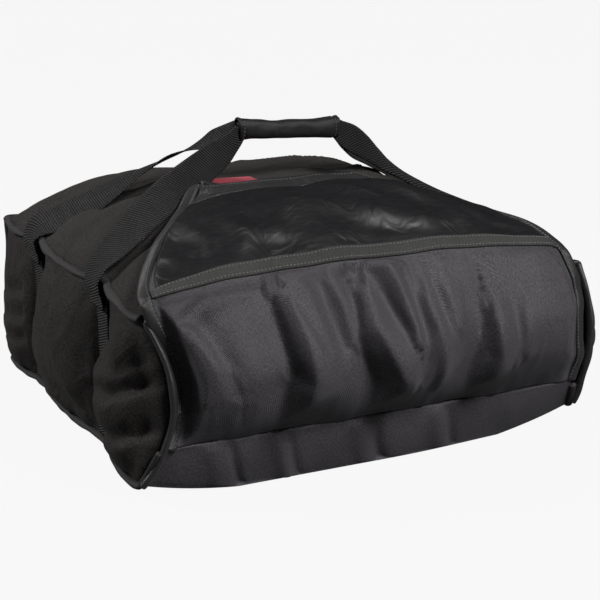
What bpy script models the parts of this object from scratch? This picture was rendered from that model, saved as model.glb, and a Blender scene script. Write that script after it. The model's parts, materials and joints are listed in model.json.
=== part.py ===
"""A padded pizza delivery bag: a box body with a puffed top, a flap that is hinged low on the front
and folds over onto the top, webbing sewn down the sides, and a padded grip above.

Metres, +Z up, the mouth and its flap towards -Y. The origin is on the floor under the middle of the
bag. Every wall is a panel of three layers, outer cloth, insulation pad and lining, which share one
grid of stations, so that they nest with an even gap.
"""

import math

import bmesh
import bpy
from mathutils import Vector

# Body, between its seams
BODY_WIDTH = 0.508
BODY_DEPTH = 0.457
FLOOR_SEAM_HEIGHT = 0.022
RIM_HEIGHT = 0.193
TOP_CROWN = 0.075
REAR_BULGE = 0.020
SIDE_BULGE = 0.030
MOUTH_REACH = 0.015
RIM_LOBE = 0.006
SEAM_ALLOWANCE = 0.004
PIPING_RADIUS = 0.0037
PIPING_CORNER = 0.0015
MOUTH_BINDING_START = 0.024

# Front sill and flap
SILL_HEIGHT = 0.057
SILL_REACH = 0.020
SILL_BULGE = 0.012
SILL_INSET = 0.010
FOLD_RISE = 0.019
FOLD_REACH = 0.012
FOLD_INSET = 0.007
FLAP_BULGE = 0.034
FLAP_EDGE_REACH = 0.014
FLAP_EDGE_DRAW = 0.017
FLAP_END_WIDTH = 0.264
FLAP_END_DEPTH = 0.065
FLAP_LIFT = 0.0045
HINGE_PLAY = 0.0004
FOLD_PLAY = 0.0050
BINDING_WIDTH = 0.012
BINDING_RISE = 0.0010

# Layers
SHELL_THICKNESS = 0.0008
LINER_THICKNESS = 0.0006
PAD_EDGE = 0.0008
PAD_FULL = 0.0110
FLAP_PAD_FULL = 0.0090
GAP = 0.0003
SEAT = 0.0006

# Ticket pocket and closure on the flap's top part
WINDOW_THICKNESS = 0.0005
TAPE_THICKNESS = 0.0008
CLOSURE_WIDTH = 0.150
CLOSURE_DEPTH = 0.025
CLOSURE_INSET = 0.018
CLOSURE_THICKNESS = 0.0012
LABEL_WIDTH = 0.052
LABEL_DEPTH = 0.036
LABEL_X = -0.058
LABEL_Y = -0.014
LABEL_THICKNESS = 0.0006

# Webbing and grip
WEB_WIDTH = 0.038
WEB_THICKNESS = 0.0018
STRAP_OFFSET = 0.109
VALLEY_WIDTH = 0.044
PINCH_REACH = 0.050
STRAP_LAP = 0.022
STRAP_ARCH = 0.008
STRAP_TURN = 0.008
STRAP_RISE = 0.018
GRIP_LENGTH = 0.126
GRIP_RISE = 0.0555
GRIP_AHEAD = 0.028
GRIP_WEB_HEIGHT = 0.0146
GRIP_WEB_THICKNESS = 0.0042
SLEEVE_WALL = 0.0014
SLEEVE_DEPTH = 0.0190
SLEEVE_END_HEIGHT = 0.0265
SLEEVE_WAIST_HEIGHT = 0.0215
SLEEVE_SIDES = 16
SLEEVE_SEAM = 0.00003

# Shapes of the pillows, as powers and shares
CROWN_POWER = 4.2
PINCH_POWER = 2.6
WALL_POWER = 3
EDGE_SKEW_POWER = 0.5
LOBE_POWER = 2.5
PAD_POWER = 4
BELLY_POWER = 3.5
BELLY_FLAT_SHARE = 1.25
BELLY_RISE_SHARE = 0.35
NORMAL_STEP_SHARE = 0.002

X_SHARES = (-1, -0.93, -0.75, -0.4, 0, 0.4, 0.75, 0.93, 1)
HEIGHT_SHARES = (-1, -0.7, 0, 0.7, 1)
LOBE_SHARES = (0.16, 0.5, 0.84)
INNER_LOBE_SHARE = 0.7
SILL_SHARES = (0.28, 0.52, 0.76, 1)
FLAP_FRONT_SHARES = (0, 0.14, 0.32, 0.5, 0.68, 0.86, 1)
FLAP_TOP_SHARES = (0, 0.15, 0.38, 0.63, 0.88, 1)
STRAP_SHARES = (0, 0.045, 0.075, 0.11, 0.15, 0.22, 0.32, 0.43, 0.55, 0.66, 0.77, 0.87, 0.94, 1)
ROUTE_SHARES = (0.25, 0.5, 0.75)
TURN_SHARE = 0.2
FOLDING_SHARE = 0.72
SLEEVE_SHARES = (-1, -0.86, -0.6, -0.25, 0.25, 0.6, 0.86, 1)

# What follows from the sizes above
HALF_WIDTH = BODY_WIDTH / 2
HALF_DEPTH = BODY_DEPTH / 2
EDGE_STACK = SHELL_THICKNESS + GAP + PAD_EDGE + GAP + LINER_THICKNESS
HINGE_Y = -HALF_DEPTH - SILL_REACH
FOLD_Y = -HALF_DEPTH - FOLD_REACH
SILL_WIDTH = BODY_WIDTH - 2 * SILL_INSET
FOLD_WIDTH = BODY_WIDTH - 2 * FOLD_INSET
FOLD_HEIGHT = RIM_HEIGHT + FOLD_RISE
GRIP_HEIGHT = RIM_HEIGHT + TOP_CROWN + GRIP_RISE
FLAP_END_Y = -FLAP_END_DEPTH
CAVITY = Vector((0, 0, (FLOOR_SEAM_HEIGHT + RIM_HEIGHT) / 2))
UP = Vector((0, 0, 1))

COLLECTION = "Pizza delivery bag"


def lerp(low, high, share):
    return low + (high - low) * share


def pillow(share, power):
    """1 at share 0, falling to 0 at shares -1 and 1."""
    return 1 - min(1, abs(share)) ** power


def ease(share):
    share = min(1, max(0, share))
    return share * share * (3 - 2 * share)


def bell(share):
    return math.sin(math.pi * min(1, max(0, share)))


def depth_stations():
    """Shares of half the depth: a side's three pillows and the two flat valleys between them."""
    inner = (STRAP_OFFSET - VALLEY_WIDTH / 2) / HALF_DEPTH
    outer = (STRAP_OFFSET + VALLEY_WIDTH / 2) / HALF_DEPTH
    half = [0, inner * INNER_LOBE_SHARE, inner, outer]
    half += [lerp(outer, 1, share) for share in LOBE_SHARES] + [1]
    return [-share for share in reversed(half[1:])] + half


DEPTH_SHARES = depth_stations()


def lobe(y):
    """1 on the crown of each of a side's three pillows, 0 in the strap valleys and at the corners."""
    inner = STRAP_OFFSET - VALLEY_WIDTH / 2
    outer = STRAP_OFFSET + VALLEY_WIDTH / 2
    y = abs(y)
    if y <= inner:
        return pillow(y / inner, LOBE_POWER)
    if y <= outer:
        return 0
    return pillow((2 * y - outer - HALF_DEPTH) / (HALF_DEPTH - outer), LOBE_POWER)


def rim_half(y):
    return HALF_WIDTH + RIM_LOBE * lobe(y)


def top_height(x, y):
    """Height of the puffed top. The straps pinch it where they cross the rim."""
    pinch = pillow((abs(y) - STRAP_OFFSET) / PINCH_REACH, 2)
    power = lerp(CROWN_POWER, PINCH_POWER, pinch)
    return RIM_HEIGHT + TOP_CROWN * pillow(x / rim_half(y), power) * pillow(y / HALF_DEPTH, CROWN_POWER)


def top_point(a, b):
    y = b * HALF_DEPTH
    x = a * rim_half(y)
    return Vector((x, y, top_height(x, y)))


def side_point(side, b, c):
    y = b * HALF_DEPTH
    x = side * (HALF_WIDTH + lerp(RIM_LOBE, SIDE_BULGE, pillow(c, WALL_POWER)) * lobe(y))
    valley = (STRAP_OFFSET + VALLEY_WIDTH / 2) / HALF_DEPTH
    bow = MOUTH_REACH * pillow(c, 2) ** 2 * max(0, (-b - valley) / (1 - valley))
    return Vector((x, y - bow, lerp(FLOOR_SEAM_HEIGHT, RIM_HEIGHT, (c + 1) / 2)))


def rear_point(a, c):
    bulge = REAR_BULGE * pillow(a, WALL_POWER) * pillow(c, WALL_POWER)
    return Vector((a * HALF_WIDTH, HALF_DEPTH + bulge, lerp(FLOOR_SEAM_HEIGHT, RIM_HEIGHT, (c + 1) / 2)))


def base_point(a, r):
    """The base from its rear seam at r -1 to its front edge at r 1, then up the sill to r 2."""
    belly = min(1, BELLY_FLAT_SHARE * pillow(a, BELLY_POWER))
    if r <= 1:
        y = -r * HALF_DEPTH
        sunk = belly * ease((r + 1) / BELLY_RISE_SHARE)
        return Vector((a * rim_half(y), y, FLOOR_SEAM_HEIGHT * (1 - sunk)))
    up = r - 1
    turn = up * math.pi / 2
    reach = lerp(SILL_REACH * up, SILL_REACH * math.sin(turn) + SILL_BULGE * bell(up), belly)
    height = lerp(lerp(FLOOR_SEAM_HEIGHT, SILL_HEIGHT, up), SILL_HEIGHT * (1 - math.cos(turn)), belly)
    return Vector((a * lerp(HALF_WIDTH, SILL_WIDTH / 2, up), -HALF_DEPTH - reach, height))


def flap_front_half(s):
    return lerp(SILL_WIDTH, FOLD_WIDTH, s) / 2 - FLAP_EDGE_DRAW * bell(s**EDGE_SKEW_POWER)


def flap_front_point(a, s):
    """The flap's front, from its hinge seam at s 0 to its fold at s 1."""
    reach = (FLAP_EDGE_REACH + FLAP_BULGE * pillow(a, PAD_POWER)) * bell(s)
    height = lerp(SILL_HEIGHT, FOLD_HEIGHT, s)
    return Vector((a * flap_front_half(s), lerp(HINGE_Y, FOLD_Y, s) - reach, height))


def flap_top_half(t):
    return lerp(FOLD_WIDTH, FLAP_END_WIDTH, t) / 2


def flap_top_point(a, t):
    """Underside of the flap's top part, from its fold at t 0 to its end at t 1."""
    y = lerp(FOLD_Y, FLAP_END_Y, t)
    x = a * flap_top_half(t)
    lift = lerp(FLAP_LIFT, FOLD_HEIGHT - EDGE_STACK - RIM_HEIGHT, (1 - t) ** 2)
    return Vector((x, y, top_height(x, max(y, -HALF_DEPTH)) + lift))


FLAP_FRONT_LENGTH = FOLD_HEIGHT - SILL_HEIGHT
FLAP_TOP_LENGTH = (flap_top_point(0, 1) - flap_top_point(0, 0)).length


def make_material(name, colour, roughness, metallic=0, alpha=1):
    material = bpy.data.materials.get(name)
    if material:
        return material
    material = bpy.data.materials.new(name)
    material.use_nodes = True
    surface = material.node_tree.nodes["Principled BSDF"]
    surface.inputs["Base Color"].default_value = (*colour, 1)
    surface.inputs["Roughness"].default_value = roughness
    surface.inputs["Metallic"].default_value = metallic
    surface.inputs["Alpha"].default_value = alpha
    return material


def shell_cloth():
    return make_material("outer_cloth", (0.024, 0.023, 0.025), 0.85)


def pad_foam():
    return make_material("insulation", (0.75, 0.75, 0.72), 0.95)


def lining_cloth():
    return make_material("lining", (0.035, 0.035, 0.037), 0.7)


def webbing():
    return make_material("webbing", (0.017, 0.017, 0.018), 0.8)


def binding_tape():
    return make_material("binding", (0.030, 0.030, 0.032), 0.7)


def clear_vinyl():
    return make_material("clear_vinyl", (0.8, 0.8, 0.8), 0.15, alpha=0.35)


def hook_and_loop():
    return make_material("hook_and_loop", (0.015, 0.015, 0.015), 0.95)


def label_cloth():
    return make_material("label", (0.55, 0.03, 0.05), 0.6)


def add_object(name, data, material, pivot=None):
    made = bpy.data.objects.new(name, data)
    bpy.data.collections[COLLECTION].objects.link(made)
    data.materials.append(material)
    if pivot:
        made.parent = pivot
        made.location = -pivot.matrix_world.translation
    return made


def add_pivot(name, place):
    """An empty on a joint's axis, which carries what moves."""
    pivot = bpy.data.objects.new(name, None)
    pivot.location = place
    bpy.data.collections[COLLECTION].objects.link(pivot)
    bpy.context.view_layer.update()
    return pivot


def slab(name, us, vs, place, material, pivot=None):
    """A thin closed body: a grid of stations whose two skins are at place(u, v, 0) and place(u, v, 1)."""
    body = bmesh.new()
    columns = len(us) - 1
    rows = len(vs) - 1
    bmesh.ops.create_grid(body, x_segments=columns, y_segments=rows, size=1)
    bmesh.ops.triangulate(body, faces=body.faces, quad_method="FIXED")
    made = bmesh.ops.extrude_face_region(body, geom=body.faces[:], use_keep_orig=True)["geom"]
    far = {part for part in made if isinstance(part, bmesh.types.BMVert)}
    for vert in body.verts:
        column = round((vert.co.x + 1) / 2 * columns)
        row = round((vert.co.y + 1) / 2 * rows)
        vert.co = place(us[column], vs[row], 1 if vert in far else 0)
    bmesh.ops.recalc_face_normals(body, faces=body.faces)
    if body.calc_volume(signed=True) < 0:
        bmesh.ops.reverse_faces(body, faces=body.faces)
    mesh = bpy.data.meshes.new(name)
    body.to_mesh(mesh)
    body.free()
    mesh.shade_smooth()
    mesh.set_sharp_from_angle(angle=math.radians(40))
    return add_object(name, mesh, material, pivot)


def tube(name, points, radius, material, pivot=None):
    """A round piping along straight runs between the points."""
    curve = bpy.data.curves.new(name, "CURVE")
    curve.dimensions = "3D"
    curve.bevel_depth = radius
    curve.bevel_resolution = 2
    curve.use_fill_caps = True
    line = curve.splines.new("POLY")
    line.points.add(len(points) - 1)
    for spot, point in zip(line.points, points):
        spot.co = (*point, 1)
    return add_object(name, curve, material, pivot)


def facet_point(surface, us, vs, u, v):
    """The surface as its flat facets have it between the stations."""

    def around(stations, value):
        high = next((i for i, s in enumerate(stations) if s >= value and i > 0), len(stations) - 1)
        low = high - 1
        return stations[low], stations[high], (value - stations[low]) / (stations[high] - stations[low])

    u0, u1, across = around(us, u)
    v0, v1, along = around(vs, v)
    near = surface(u0, v0).lerp(surface(u1, v0), across)
    far = surface(u0, v1).lerp(surface(u1, v1), across)
    return near.lerp(far, along)


class Panel:
    """A padded panel: a surface over stations, and layers at depths from it."""

    def __init__(self, surface, us, vs, pulls=(0, 0, 0, 0), pad_full=PAD_FULL, outward=False):
        self.surface = surface
        self.us = us
        self.vs = vs
        self.pulls = pulls
        self.pad_full = pad_full
        self.outward = outward

    def fill(self, u, v):
        across = (2 * u - self.us[0] - self.us[-1]) / (self.us[-1] - self.us[0])
        along = (2 * v - self.vs[0] - self.vs[-1]) / (self.vs[-1] - self.vs[0])
        share = pillow(across, PAD_POWER) * pillow(along, PAD_POWER)
        return lerp(PAD_EDGE, self.pad_full, share)

    def stack(self, u, v):
        """Thickness of the whole panel."""
        return EDGE_STACK - PAD_EDGE + self.fill(u, v)

    def point(self, u, v, depth):
        step = NORMAL_STEP_SHARE
        u_in = min(max(u, self.us[0] + step), self.us[-1] - step)
        v_in = min(max(v, self.vs[0] + step), self.vs[-1] - step)
        across = self.surface(u_in + step, v_in) - self.surface(u_in - step, v_in)
        along = self.surface(u_in, v_in + step) - self.surface(u_in, v_in - step)
        place = self.surface(u, v)
        normal = across.cross(along).normalized()
        if normal.dot(CAVITY - place) < 0:
            normal = -normal
        if self.outward:
            normal = -normal
        for at_edge, pull, way in (
            (u == self.us[0], self.pulls[0], across),
            (u == self.us[-1], self.pulls[1], -across),
            (v == self.vs[0], self.pulls[2], along),
            (v == self.vs[-1], self.pulls[3], -along),
        ):
            if at_edge:
                place = place + way.normalized() * pull
        return place + normal * depth

    def layer(self, name, near, far, material, us=None, vs=None, pivot=None):
        def place(u, v, side):
            return self.point(u, v, far(u, v) if side else near(u, v))

        return slab(name, us or self.us, vs or self.vs, place, material, pivot)

    def layers(self, name, pivot=None):
        """Outer cloth, pad and lining. On an outward panel the lining lies on the surface itself."""
        first = LINER_THICKNESS if self.outward else SHELL_THICKNESS
        last = SHELL_THICKNESS if self.outward else LINER_THICKNESS
        names = (name + "_lining", name + "_shell") if self.outward else (name + "_shell", name + "_lining")
        cloths = (lining_cloth(), shell_cloth()) if self.outward else (shell_cloth(), lining_cloth())
        self.layer(names[0], lambda u, v: 0, lambda u, v: first, cloths[0], pivot=pivot)
        start = first + GAP
        self.layer(
            name + "_pad", lambda u, v: start, lambda u, v: start + self.fill(u, v), pad_foam(), pivot=pivot
        )
        self.layer(
            names[1],
            lambda u, v: start + self.fill(u, v) + GAP,
            lambda u, v: start + self.fill(u, v) + GAP + last,
            cloths[1],
            pivot=pivot,
        )


def body_panels():
    seams = (SEAM_ALLOWANCE,) * 4
    Panel(top_point, X_SHARES, DEPTH_SHARES, seams).layers("top")
    Panel(rear_point, X_SHARES, HEIGHT_SHARES, seams).layers("rear")
    rows = DEPTH_SHARES + [1 + share for share in SILL_SHARES]
    Panel(base_point, X_SHARES, rows, seams[:3] + (HINGE_PLAY,)).layers("base")
    for word, side in (("left", -1), ("right", 1)):

        def surface(b, c, side=side):
            return side_point(side, b, c)

        Panel(surface, DEPTH_SHARES, HEIGHT_SHARES, seams).layers(word + "_side")


def cut_corner(before, corner, after):
    """The two points that stand for a sharp corner of a piping."""
    back = (before - corner).normalized() * PIPING_CORNER
    on = (after - corner).normalized() * PIPING_CORNER
    return [corner + back, corner + on]


def pipings():
    start = (PIPING_RADIUS + GAP) / HALF_DEPTH - 1
    runs = [start] + DEPTH_SHARES[1:-1]
    left = [top_point(-1, b) for b in runs]
    right = [top_point(1, b) for b in reversed(runs)]
    rear = [top_point(a, 1) for a in X_SHARES]
    rim = left + cut_corner(left[-1], rear[0], rear[1]) + rear[1:-1]
    rim += cut_corner(rear[-2], rear[-1], right[0]) + right
    tube("rim_piping", rim, PIPING_RADIUS, binding_tape())

    end = 2 - (PIPING_RADIUS + BINDING_RISE) / (SILL_HEIGHT - FLOOR_SEAM_HEIGHT)
    sill = [1 + share for share in SILL_SHARES if 1 + share < end] + [end]
    rows = DEPTH_SHARES[1:] + sill
    left = [base_point(-1, r) for r in reversed(rows)]
    right = [base_point(1, r) for r in rows]
    rear = [base_point(a, -1) for a in X_SHARES]
    floor = left + cut_corner(left[-1], rear[0], rear[1]) + rear[1:-1]
    floor += cut_corner(rear[-2], rear[-1], right[0]) + right
    tube("floor_piping", floor, PIPING_RADIUS, binding_tape())

    clear = PIPING_RADIUS + GAP
    for word, side in (("left", -1), ("right", 1)):
        foot = Vector((side * HALF_WIDTH, HALF_DEPTH, FLOOR_SEAM_HEIGHT + clear))
        head = Vector((side * HALF_WIDTH, HALF_DEPTH, RIM_HEIGHT - clear))
        tube("rear_corner_piping_" + word, [foot, head], PIPING_RADIUS, binding_tape())

    foot = 2 * MOUTH_BINDING_START / (RIM_HEIGHT - FLOOR_SEAM_HEIGHT) - 1
    rows = [foot] + [c for c in HEIGHT_SHARES if c > foot]
    left = [side_point(-1, -1, c) for c in rows]
    right = [side_point(1, -1, c) for c in reversed(rows)]
    mouth = left[:-1] + cut_corner(left[-2], left[-1], right[0])
    mouth += cut_corner(left[-1], right[0], right[1]) + right[1:]
    tube("mouth_binding", mouth, PIPING_RADIUS, binding_tape())


def flap_front(pivot):
    start = HINGE_PLAY / FLAP_FRONT_LENGTH
    end = 1 - HINGE_PLAY / FLAP_FRONT_LENGTH
    rows = [lerp(start, end, share) for share in FLAP_FRONT_SHARES]
    outline = Panel(flap_front_point, (-1, 1), rows)

    def surface(share, s):
        return flap_front_point(share * (1 - (BINDING_WIDTH + SEAT) / flap_front_half(s)), s)

    Panel(surface, X_SHARES, rows, pad_full=FLAP_PAD_FULL).layers("flap_front", pivot)

    for word, side in (("left", -1), ("right", 1)):

        def place(u, s, face, side=side):
            a = side * (1 - u * BINDING_WIDTH / flap_front_half(s))
            return outline.point(a, s, lerp(-BINDING_RISE, EDGE_STACK + BINDING_RISE, face))

        slab("flap_front_binding_" + word, (0, 1), rows, place, binding_tape(), pivot)


def flap_top(pivot):
    start = FOLD_PLAY / FLAP_TOP_LENGTH
    limit = 1 - (BINDING_WIDTH + SEAT) / FLAP_TOP_LENGTH
    rows = [lerp(start, limit, share) for share in FLAP_TOP_SHARES]

    def surface(share, t):
        return flap_top_point(share * (1 - (BINDING_WIDTH + SEAT) / flap_top_half(t)), t)

    panel = Panel(surface, X_SHARES, rows, pad_full=FLAP_PAD_FULL, outward=True)
    panel.layers("flap_top", pivot)

    def above(rise):
        return lambda u, v: panel.stack(u, v) + rise

    inner = X_SHARES[1:-1]
    gap_share = GAP / FLAP_TOP_LENGTH
    window = rows[1:-1]
    panel.layer(
        "ticket_window", above(GAP), above(GAP + WINDOW_THICKNESS), clear_vinyl(), inner, window, pivot
    )
    hem = (rows[-2] + gap_share, rows[-1])
    panel.layer("window_hem", above(GAP), above(GAP + TAPE_THICKNESS), shell_cloth(), inner, hem, pivot)
    fold_tape(panel, rows[1] - gap_share, pivot)
    flap_top_binding(rows, pivot)
    closure(panel, pivot)


def fold_tape(panel, end, pivot):
    """The tape along the window's lower edge. It starts on the fold line, ahead of the panel."""
    start = HINGE_PLAY / FLAP_TOP_LENGTH

    def place(u, v, face):
        rise = lerp(GAP, GAP + TAPE_THICKNESS, face)
        if v < panel.vs[0]:
            place_there = flap_top_point(u * (1 - (BINDING_WIDTH + SEAT) / flap_top_half(v)), v)
            return place_there + UP * (EDGE_STACK + rise)
        return panel.point(u, v, panel.stack(u, v) + rise)

    slab("window_lower_tape", X_SHARES, (start, panel.vs[0], end), place, binding_tape(), pivot)


def flap_top_binding(rows, pivot):
    """One tape round the left, end and right edges, mitred at the flap's two corners."""
    end_row = 1 - BINDING_WIDTH / FLAP_TOP_LENGTH

    def inside(t):
        return 1 - BINDING_WIDTH / flap_top_half(t)

    sides = [((-1, t), (-inside(t), t)) for t in rows[:-1]]
    corner = [((-1, 1), (-inside(end_row), end_row))]
    across = [((a, 1), (a * inside(end_row), end_row)) for a in X_SHARES[1:-1]]
    half = sides + corner
    mirrored = [((-outer[0], outer[1]), (-inner[0], inner[1])) for outer, inner in reversed(half)]
    pairs = half + across + mirrored
    outline = Panel(flap_top_point, (-1, 1), (0, 1), outward=True)

    def place(u, index, face):
        outer, inner = pairs[index]
        a = lerp(outer[0], inner[0], u)
        t = lerp(outer[1], inner[1], u)
        return outline.point(a, t, lerp(-BINDING_RISE, EDGE_STACK + BINDING_RISE, face))

    slab("flap_top_binding", (0, 1), range(len(pairs)), place, binding_tape(), pivot)


def closure(panel, pivot):
    """Loop strip on the bag's top, hook strip above it under the flap's end."""
    low = FLAP_END_Y - CLOSURE_INSET - CLOSURE_DEPTH
    high = FLAP_END_Y - CLOSURE_INSET
    reach = CLOSURE_WIDTH / 2 / HALF_WIDTH
    crossed = [b for b in DEPTH_SHARES if low < b * HALF_DEPTH < high]
    loop_rows = [low / HALF_DEPTH] + crossed + [high / HALF_DEPTH]
    loop_columns = [-reach] + [a for a in X_SHARES if abs(a) < reach] + [reach]

    def loop_place(a, b, face):
        spot = facet_point(top_point, X_SHARES, DEPTH_SHARES, a, b)
        return spot + UP * lerp(SEAT, SEAT + CLOSURE_THICKNESS, face)

    slab("closure_loop_strip", loop_columns, loop_rows, loop_place, hook_and_loop())

    span = FLAP_END_Y - FOLD_Y
    first = (low - FOLD_Y) / span
    last = (high - FOLD_Y) / span
    rows = [first] + [t for t in panel.vs if first < t < last] + [last]
    half = flap_top_half(last)
    reach = CLOSURE_WIDTH / 2 / half
    columns = [-reach] + [a for a in X_SHARES if abs(a) < reach] + [reach]

    def hook_place(a, t, face):
        spot = facet_point(panel.surface, panel.us, panel.vs, a, t)
        return spot - UP * lerp(SEAT, SEAT + CLOSURE_THICKNESS, face)

    slab("closure_hook_strip", columns, rows, hook_place, hook_and_loop(), pivot)


def label():
    """A small bare label, sewn to the top behind the flap."""
    columns = [(LABEL_X + side * LABEL_WIDTH / 2) / HALF_WIDTH for side in (-1, 1)]
    rows = [(LABEL_Y + side * LABEL_DEPTH / 2) / HALF_DEPTH for side in (-1, 1)]

    def place(a, b, face):
        spot = facet_point(top_point, X_SHARES, DEPTH_SHARES, a, b)
        return spot + UP * lerp(SEAT, SEAT + LABEL_THICKNESS, face)

    slab("label", columns, rows, place, label_cloth())


def side_web(word, side, end):
    low = FLOOR_SEAM_HEIGHT + PIPING_RADIUS + GAP
    high = RIM_HEIGHT - PIPING_RADIUS - GAP
    near = HALF_WIDTH + GAP

    def place(u, z, face):
        y = end * STRAP_OFFSET + u * WEB_WIDTH / 2
        return Vector((side * lerp(near, near + WEB_THICKNESS, face), y, z))

    slab("side_web_" + word, (-1, 0, 1), (low, (low + high) / 2, high), place, webbing())


def smooth_path(points, share):
    """A point on the smooth curve through the points, by even shares of their straight lengths."""
    runs = [(b - a).length for a, b in zip(points, points[1:])]
    travel = share * sum(runs)
    index = 0
    while index < len(runs) - 1 and travel > runs[index]:
        travel -= runs[index]
        index += 1
    t = travel / runs[index]
    p1 = points[index]
    p2 = points[index + 1]
    p0 = points[max(0, index - 1)]
    p3 = points[min(len(points) - 1, index + 2)]
    bend = (p0 * 2 - p1 * 5 + p2 * 4 - p3) * t * t + (p1 * 3 - p0 - p2 * 3 + p3) * t * t * t
    return p1 + (p2 - p0) * (t / 2) + bend / 2


def free_strap(word, side, end):
    """From outside the sewn web, over the rim and up to the grip, turning on edge and folding lengthwise."""
    lap_x = HALF_WIDTH + GAP + WEB_THICKNESS + GAP + WEB_THICKNESS / 2
    over_x = HALF_WIDTH + PIPING_RADIUS + GAP + WEB_THICKNESS / 2
    low = Vector((side * lap_x, end * STRAP_OFFSET, RIM_HEIGHT - STRAP_LAP))
    beside = Vector((side * over_x, end * STRAP_OFFSET, RIM_HEIGHT + PIPING_RADIUS / 2))
    over = Vector((side * (HALF_WIDTH - STRAP_TURN), end * STRAP_OFFSET, RIM_HEIGHT + STRAP_RISE))
    grip_y = end * (GRIP_WEB_THICKNESS + GAP) / 2 - GRIP_AHEAD
    last = Vector((side * (GRIP_LENGTH / 2 + GAP), grip_y, GRIP_HEIGHT))
    middle = [over.lerp(last, share) + UP * STRAP_ARCH * bell(share) for share in ROUTE_SHARES]
    route = [low, beside, over] + middle + [last]

    def frame(v):
        step = NORMAL_STEP_SHARE
        along = smooth_path(route, min(1, v + step)) - smooth_path(route, max(0, v - step))
        if v == 1:
            along = Vector((-side, 0, 0))
        along.normalize()
        across = Vector((0, -end, 0)).lerp(UP, ease((v - TURN_SHARE) / (1 - TURN_SHARE)))
        across = (across - along * across.dot(along)).normalized()
        return smooth_path(route, v), across, along.cross(across).normalized()

    def place(u, v, face):
        spot, across, normal = frame(v)
        folding = ease((v - FOLDING_SHARE) / (1 - FOLDING_SHARE))
        width = lerp(WEB_WIDTH, GRIP_WEB_HEIGHT, folding)
        thickness = lerp(WEB_THICKNESS, GRIP_WEB_THICKNESS, folding)
        return spot + across * (u * width / 2) + normal * (thickness * (face - 0.5))

    slab("strap_" + word, (-1, 0, 1), STRAP_SHARES, place, webbing())


def grip(pivot):
    """A cloth sleeve, waisted in the middle, round the two lengths of folded webbing."""
    half = GRIP_LENGTH / 2
    for word, end in (("front", -1), ("rear", 1)):
        middle = end * (GRIP_WEB_THICKNESS + GAP) / 2 - GRIP_AHEAD

        def place(u, v, face, middle=middle):
            y = middle + GRIP_WEB_THICKNESS * (face - 0.5)
            return Vector((v * half, y, GRIP_HEIGHT + u * GRIP_WEB_HEIGHT / 2))

        slab("grip_web_" + word, (-1, 1), (-1, 0, 1), place, webbing(), pivot)

    sleeve = bmesh.new()
    bmesh.ops.create_grid(sleeve, x_segments=SLEEVE_SIDES, y_segments=len(SLEEVE_SHARES) - 1, size=1)
    for vert in sleeve.verts:
        angle = math.pi * vert.co.x
        share = SLEEVE_SHARES[round((vert.co.y + 1) / 2 * (len(SLEEVE_SHARES) - 1))]
        height = lerp(SLEEVE_WAIST_HEIGHT, SLEEVE_END_HEIGHT, abs(share) ** 3) - SLEEVE_WALL
        depth = SLEEVE_DEPTH - SLEEVE_WALL
        y = depth / 2 * math.sin(angle) - GRIP_AHEAD
        vert.co = Vector((share * half, y, GRIP_HEIGHT + height / 2 * math.cos(angle)))
    bmesh.ops.remove_doubles(sleeve, verts=sleeve.verts, dist=SLEEVE_SEAM)
    bmesh.ops.recalc_face_normals(sleeve, faces=sleeve.faces)
    mesh = bpy.data.meshes.new("grip_sleeve")
    sleeve.to_mesh(mesh)
    sleeve.free()
    mesh.shade_smooth()
    made = add_object("grip_sleeve", mesh, shell_cloth(), pivot)
    wall = made.modifiers.new("wall", "SOLIDIFY")
    wall.thickness = SLEEVE_WALL
    wall.offset = 0


def main():
    for old in list(bpy.data.objects):
        bpy.data.objects.remove(old)
    bpy.context.scene.collection.children.link(bpy.data.collections.new(COLLECTION))

    body_panels()
    pipings()
    label()
    flap_front(add_pivot("flap_hinge", (0, HINGE_Y, SILL_HEIGHT)))
    flap_top(add_pivot("flap_fold", (0, FOLD_Y, FOLD_HEIGHT)))
    for side_word, side in (("left", -1), ("right", 1)):
        for end_word, end in (("front", -1), ("rear", 1)):
            word = end_word + "_" + side_word
            side_web(word, side, end)
            free_strap(word, side, end)
    grip(add_pivot("grip_slide", (0, -GRIP_AHEAD, GRIP_HEIGHT)))


main()
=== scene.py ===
"""Looks of a padded pizza delivery bag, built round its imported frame.

Metres, +Z up, the mouth and its flap towards -Y. Each padded panel is a skin, a fine grid of points
that is shaped by broad swells, seams and folds. Sheets, tapes and stitches are laid on those skins.
"""

import json
import math

import bpy
import numpy as np
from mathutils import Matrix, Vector


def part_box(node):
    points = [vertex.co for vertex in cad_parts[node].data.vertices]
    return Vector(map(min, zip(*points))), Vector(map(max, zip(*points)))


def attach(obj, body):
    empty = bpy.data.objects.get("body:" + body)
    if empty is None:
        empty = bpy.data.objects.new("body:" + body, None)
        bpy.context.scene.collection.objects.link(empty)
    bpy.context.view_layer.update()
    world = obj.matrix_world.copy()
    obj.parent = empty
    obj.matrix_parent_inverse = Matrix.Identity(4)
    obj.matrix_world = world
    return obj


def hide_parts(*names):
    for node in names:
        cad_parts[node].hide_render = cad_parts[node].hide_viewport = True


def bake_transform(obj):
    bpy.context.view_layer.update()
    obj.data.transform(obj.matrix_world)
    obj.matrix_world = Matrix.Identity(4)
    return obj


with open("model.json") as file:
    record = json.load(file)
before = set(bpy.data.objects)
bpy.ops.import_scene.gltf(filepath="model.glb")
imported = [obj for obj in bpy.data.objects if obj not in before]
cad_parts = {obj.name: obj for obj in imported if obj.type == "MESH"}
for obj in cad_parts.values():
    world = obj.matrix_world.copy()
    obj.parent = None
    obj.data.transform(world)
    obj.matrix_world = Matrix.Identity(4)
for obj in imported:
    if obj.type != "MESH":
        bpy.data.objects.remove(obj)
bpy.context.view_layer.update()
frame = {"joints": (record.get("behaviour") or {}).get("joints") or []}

# What the frame says
JOINTS = {joint["name"]: joint for joint in frame["joints"]}
HINGE = Vector(JOINTS["flap_open"]["pos_m"])
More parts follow.
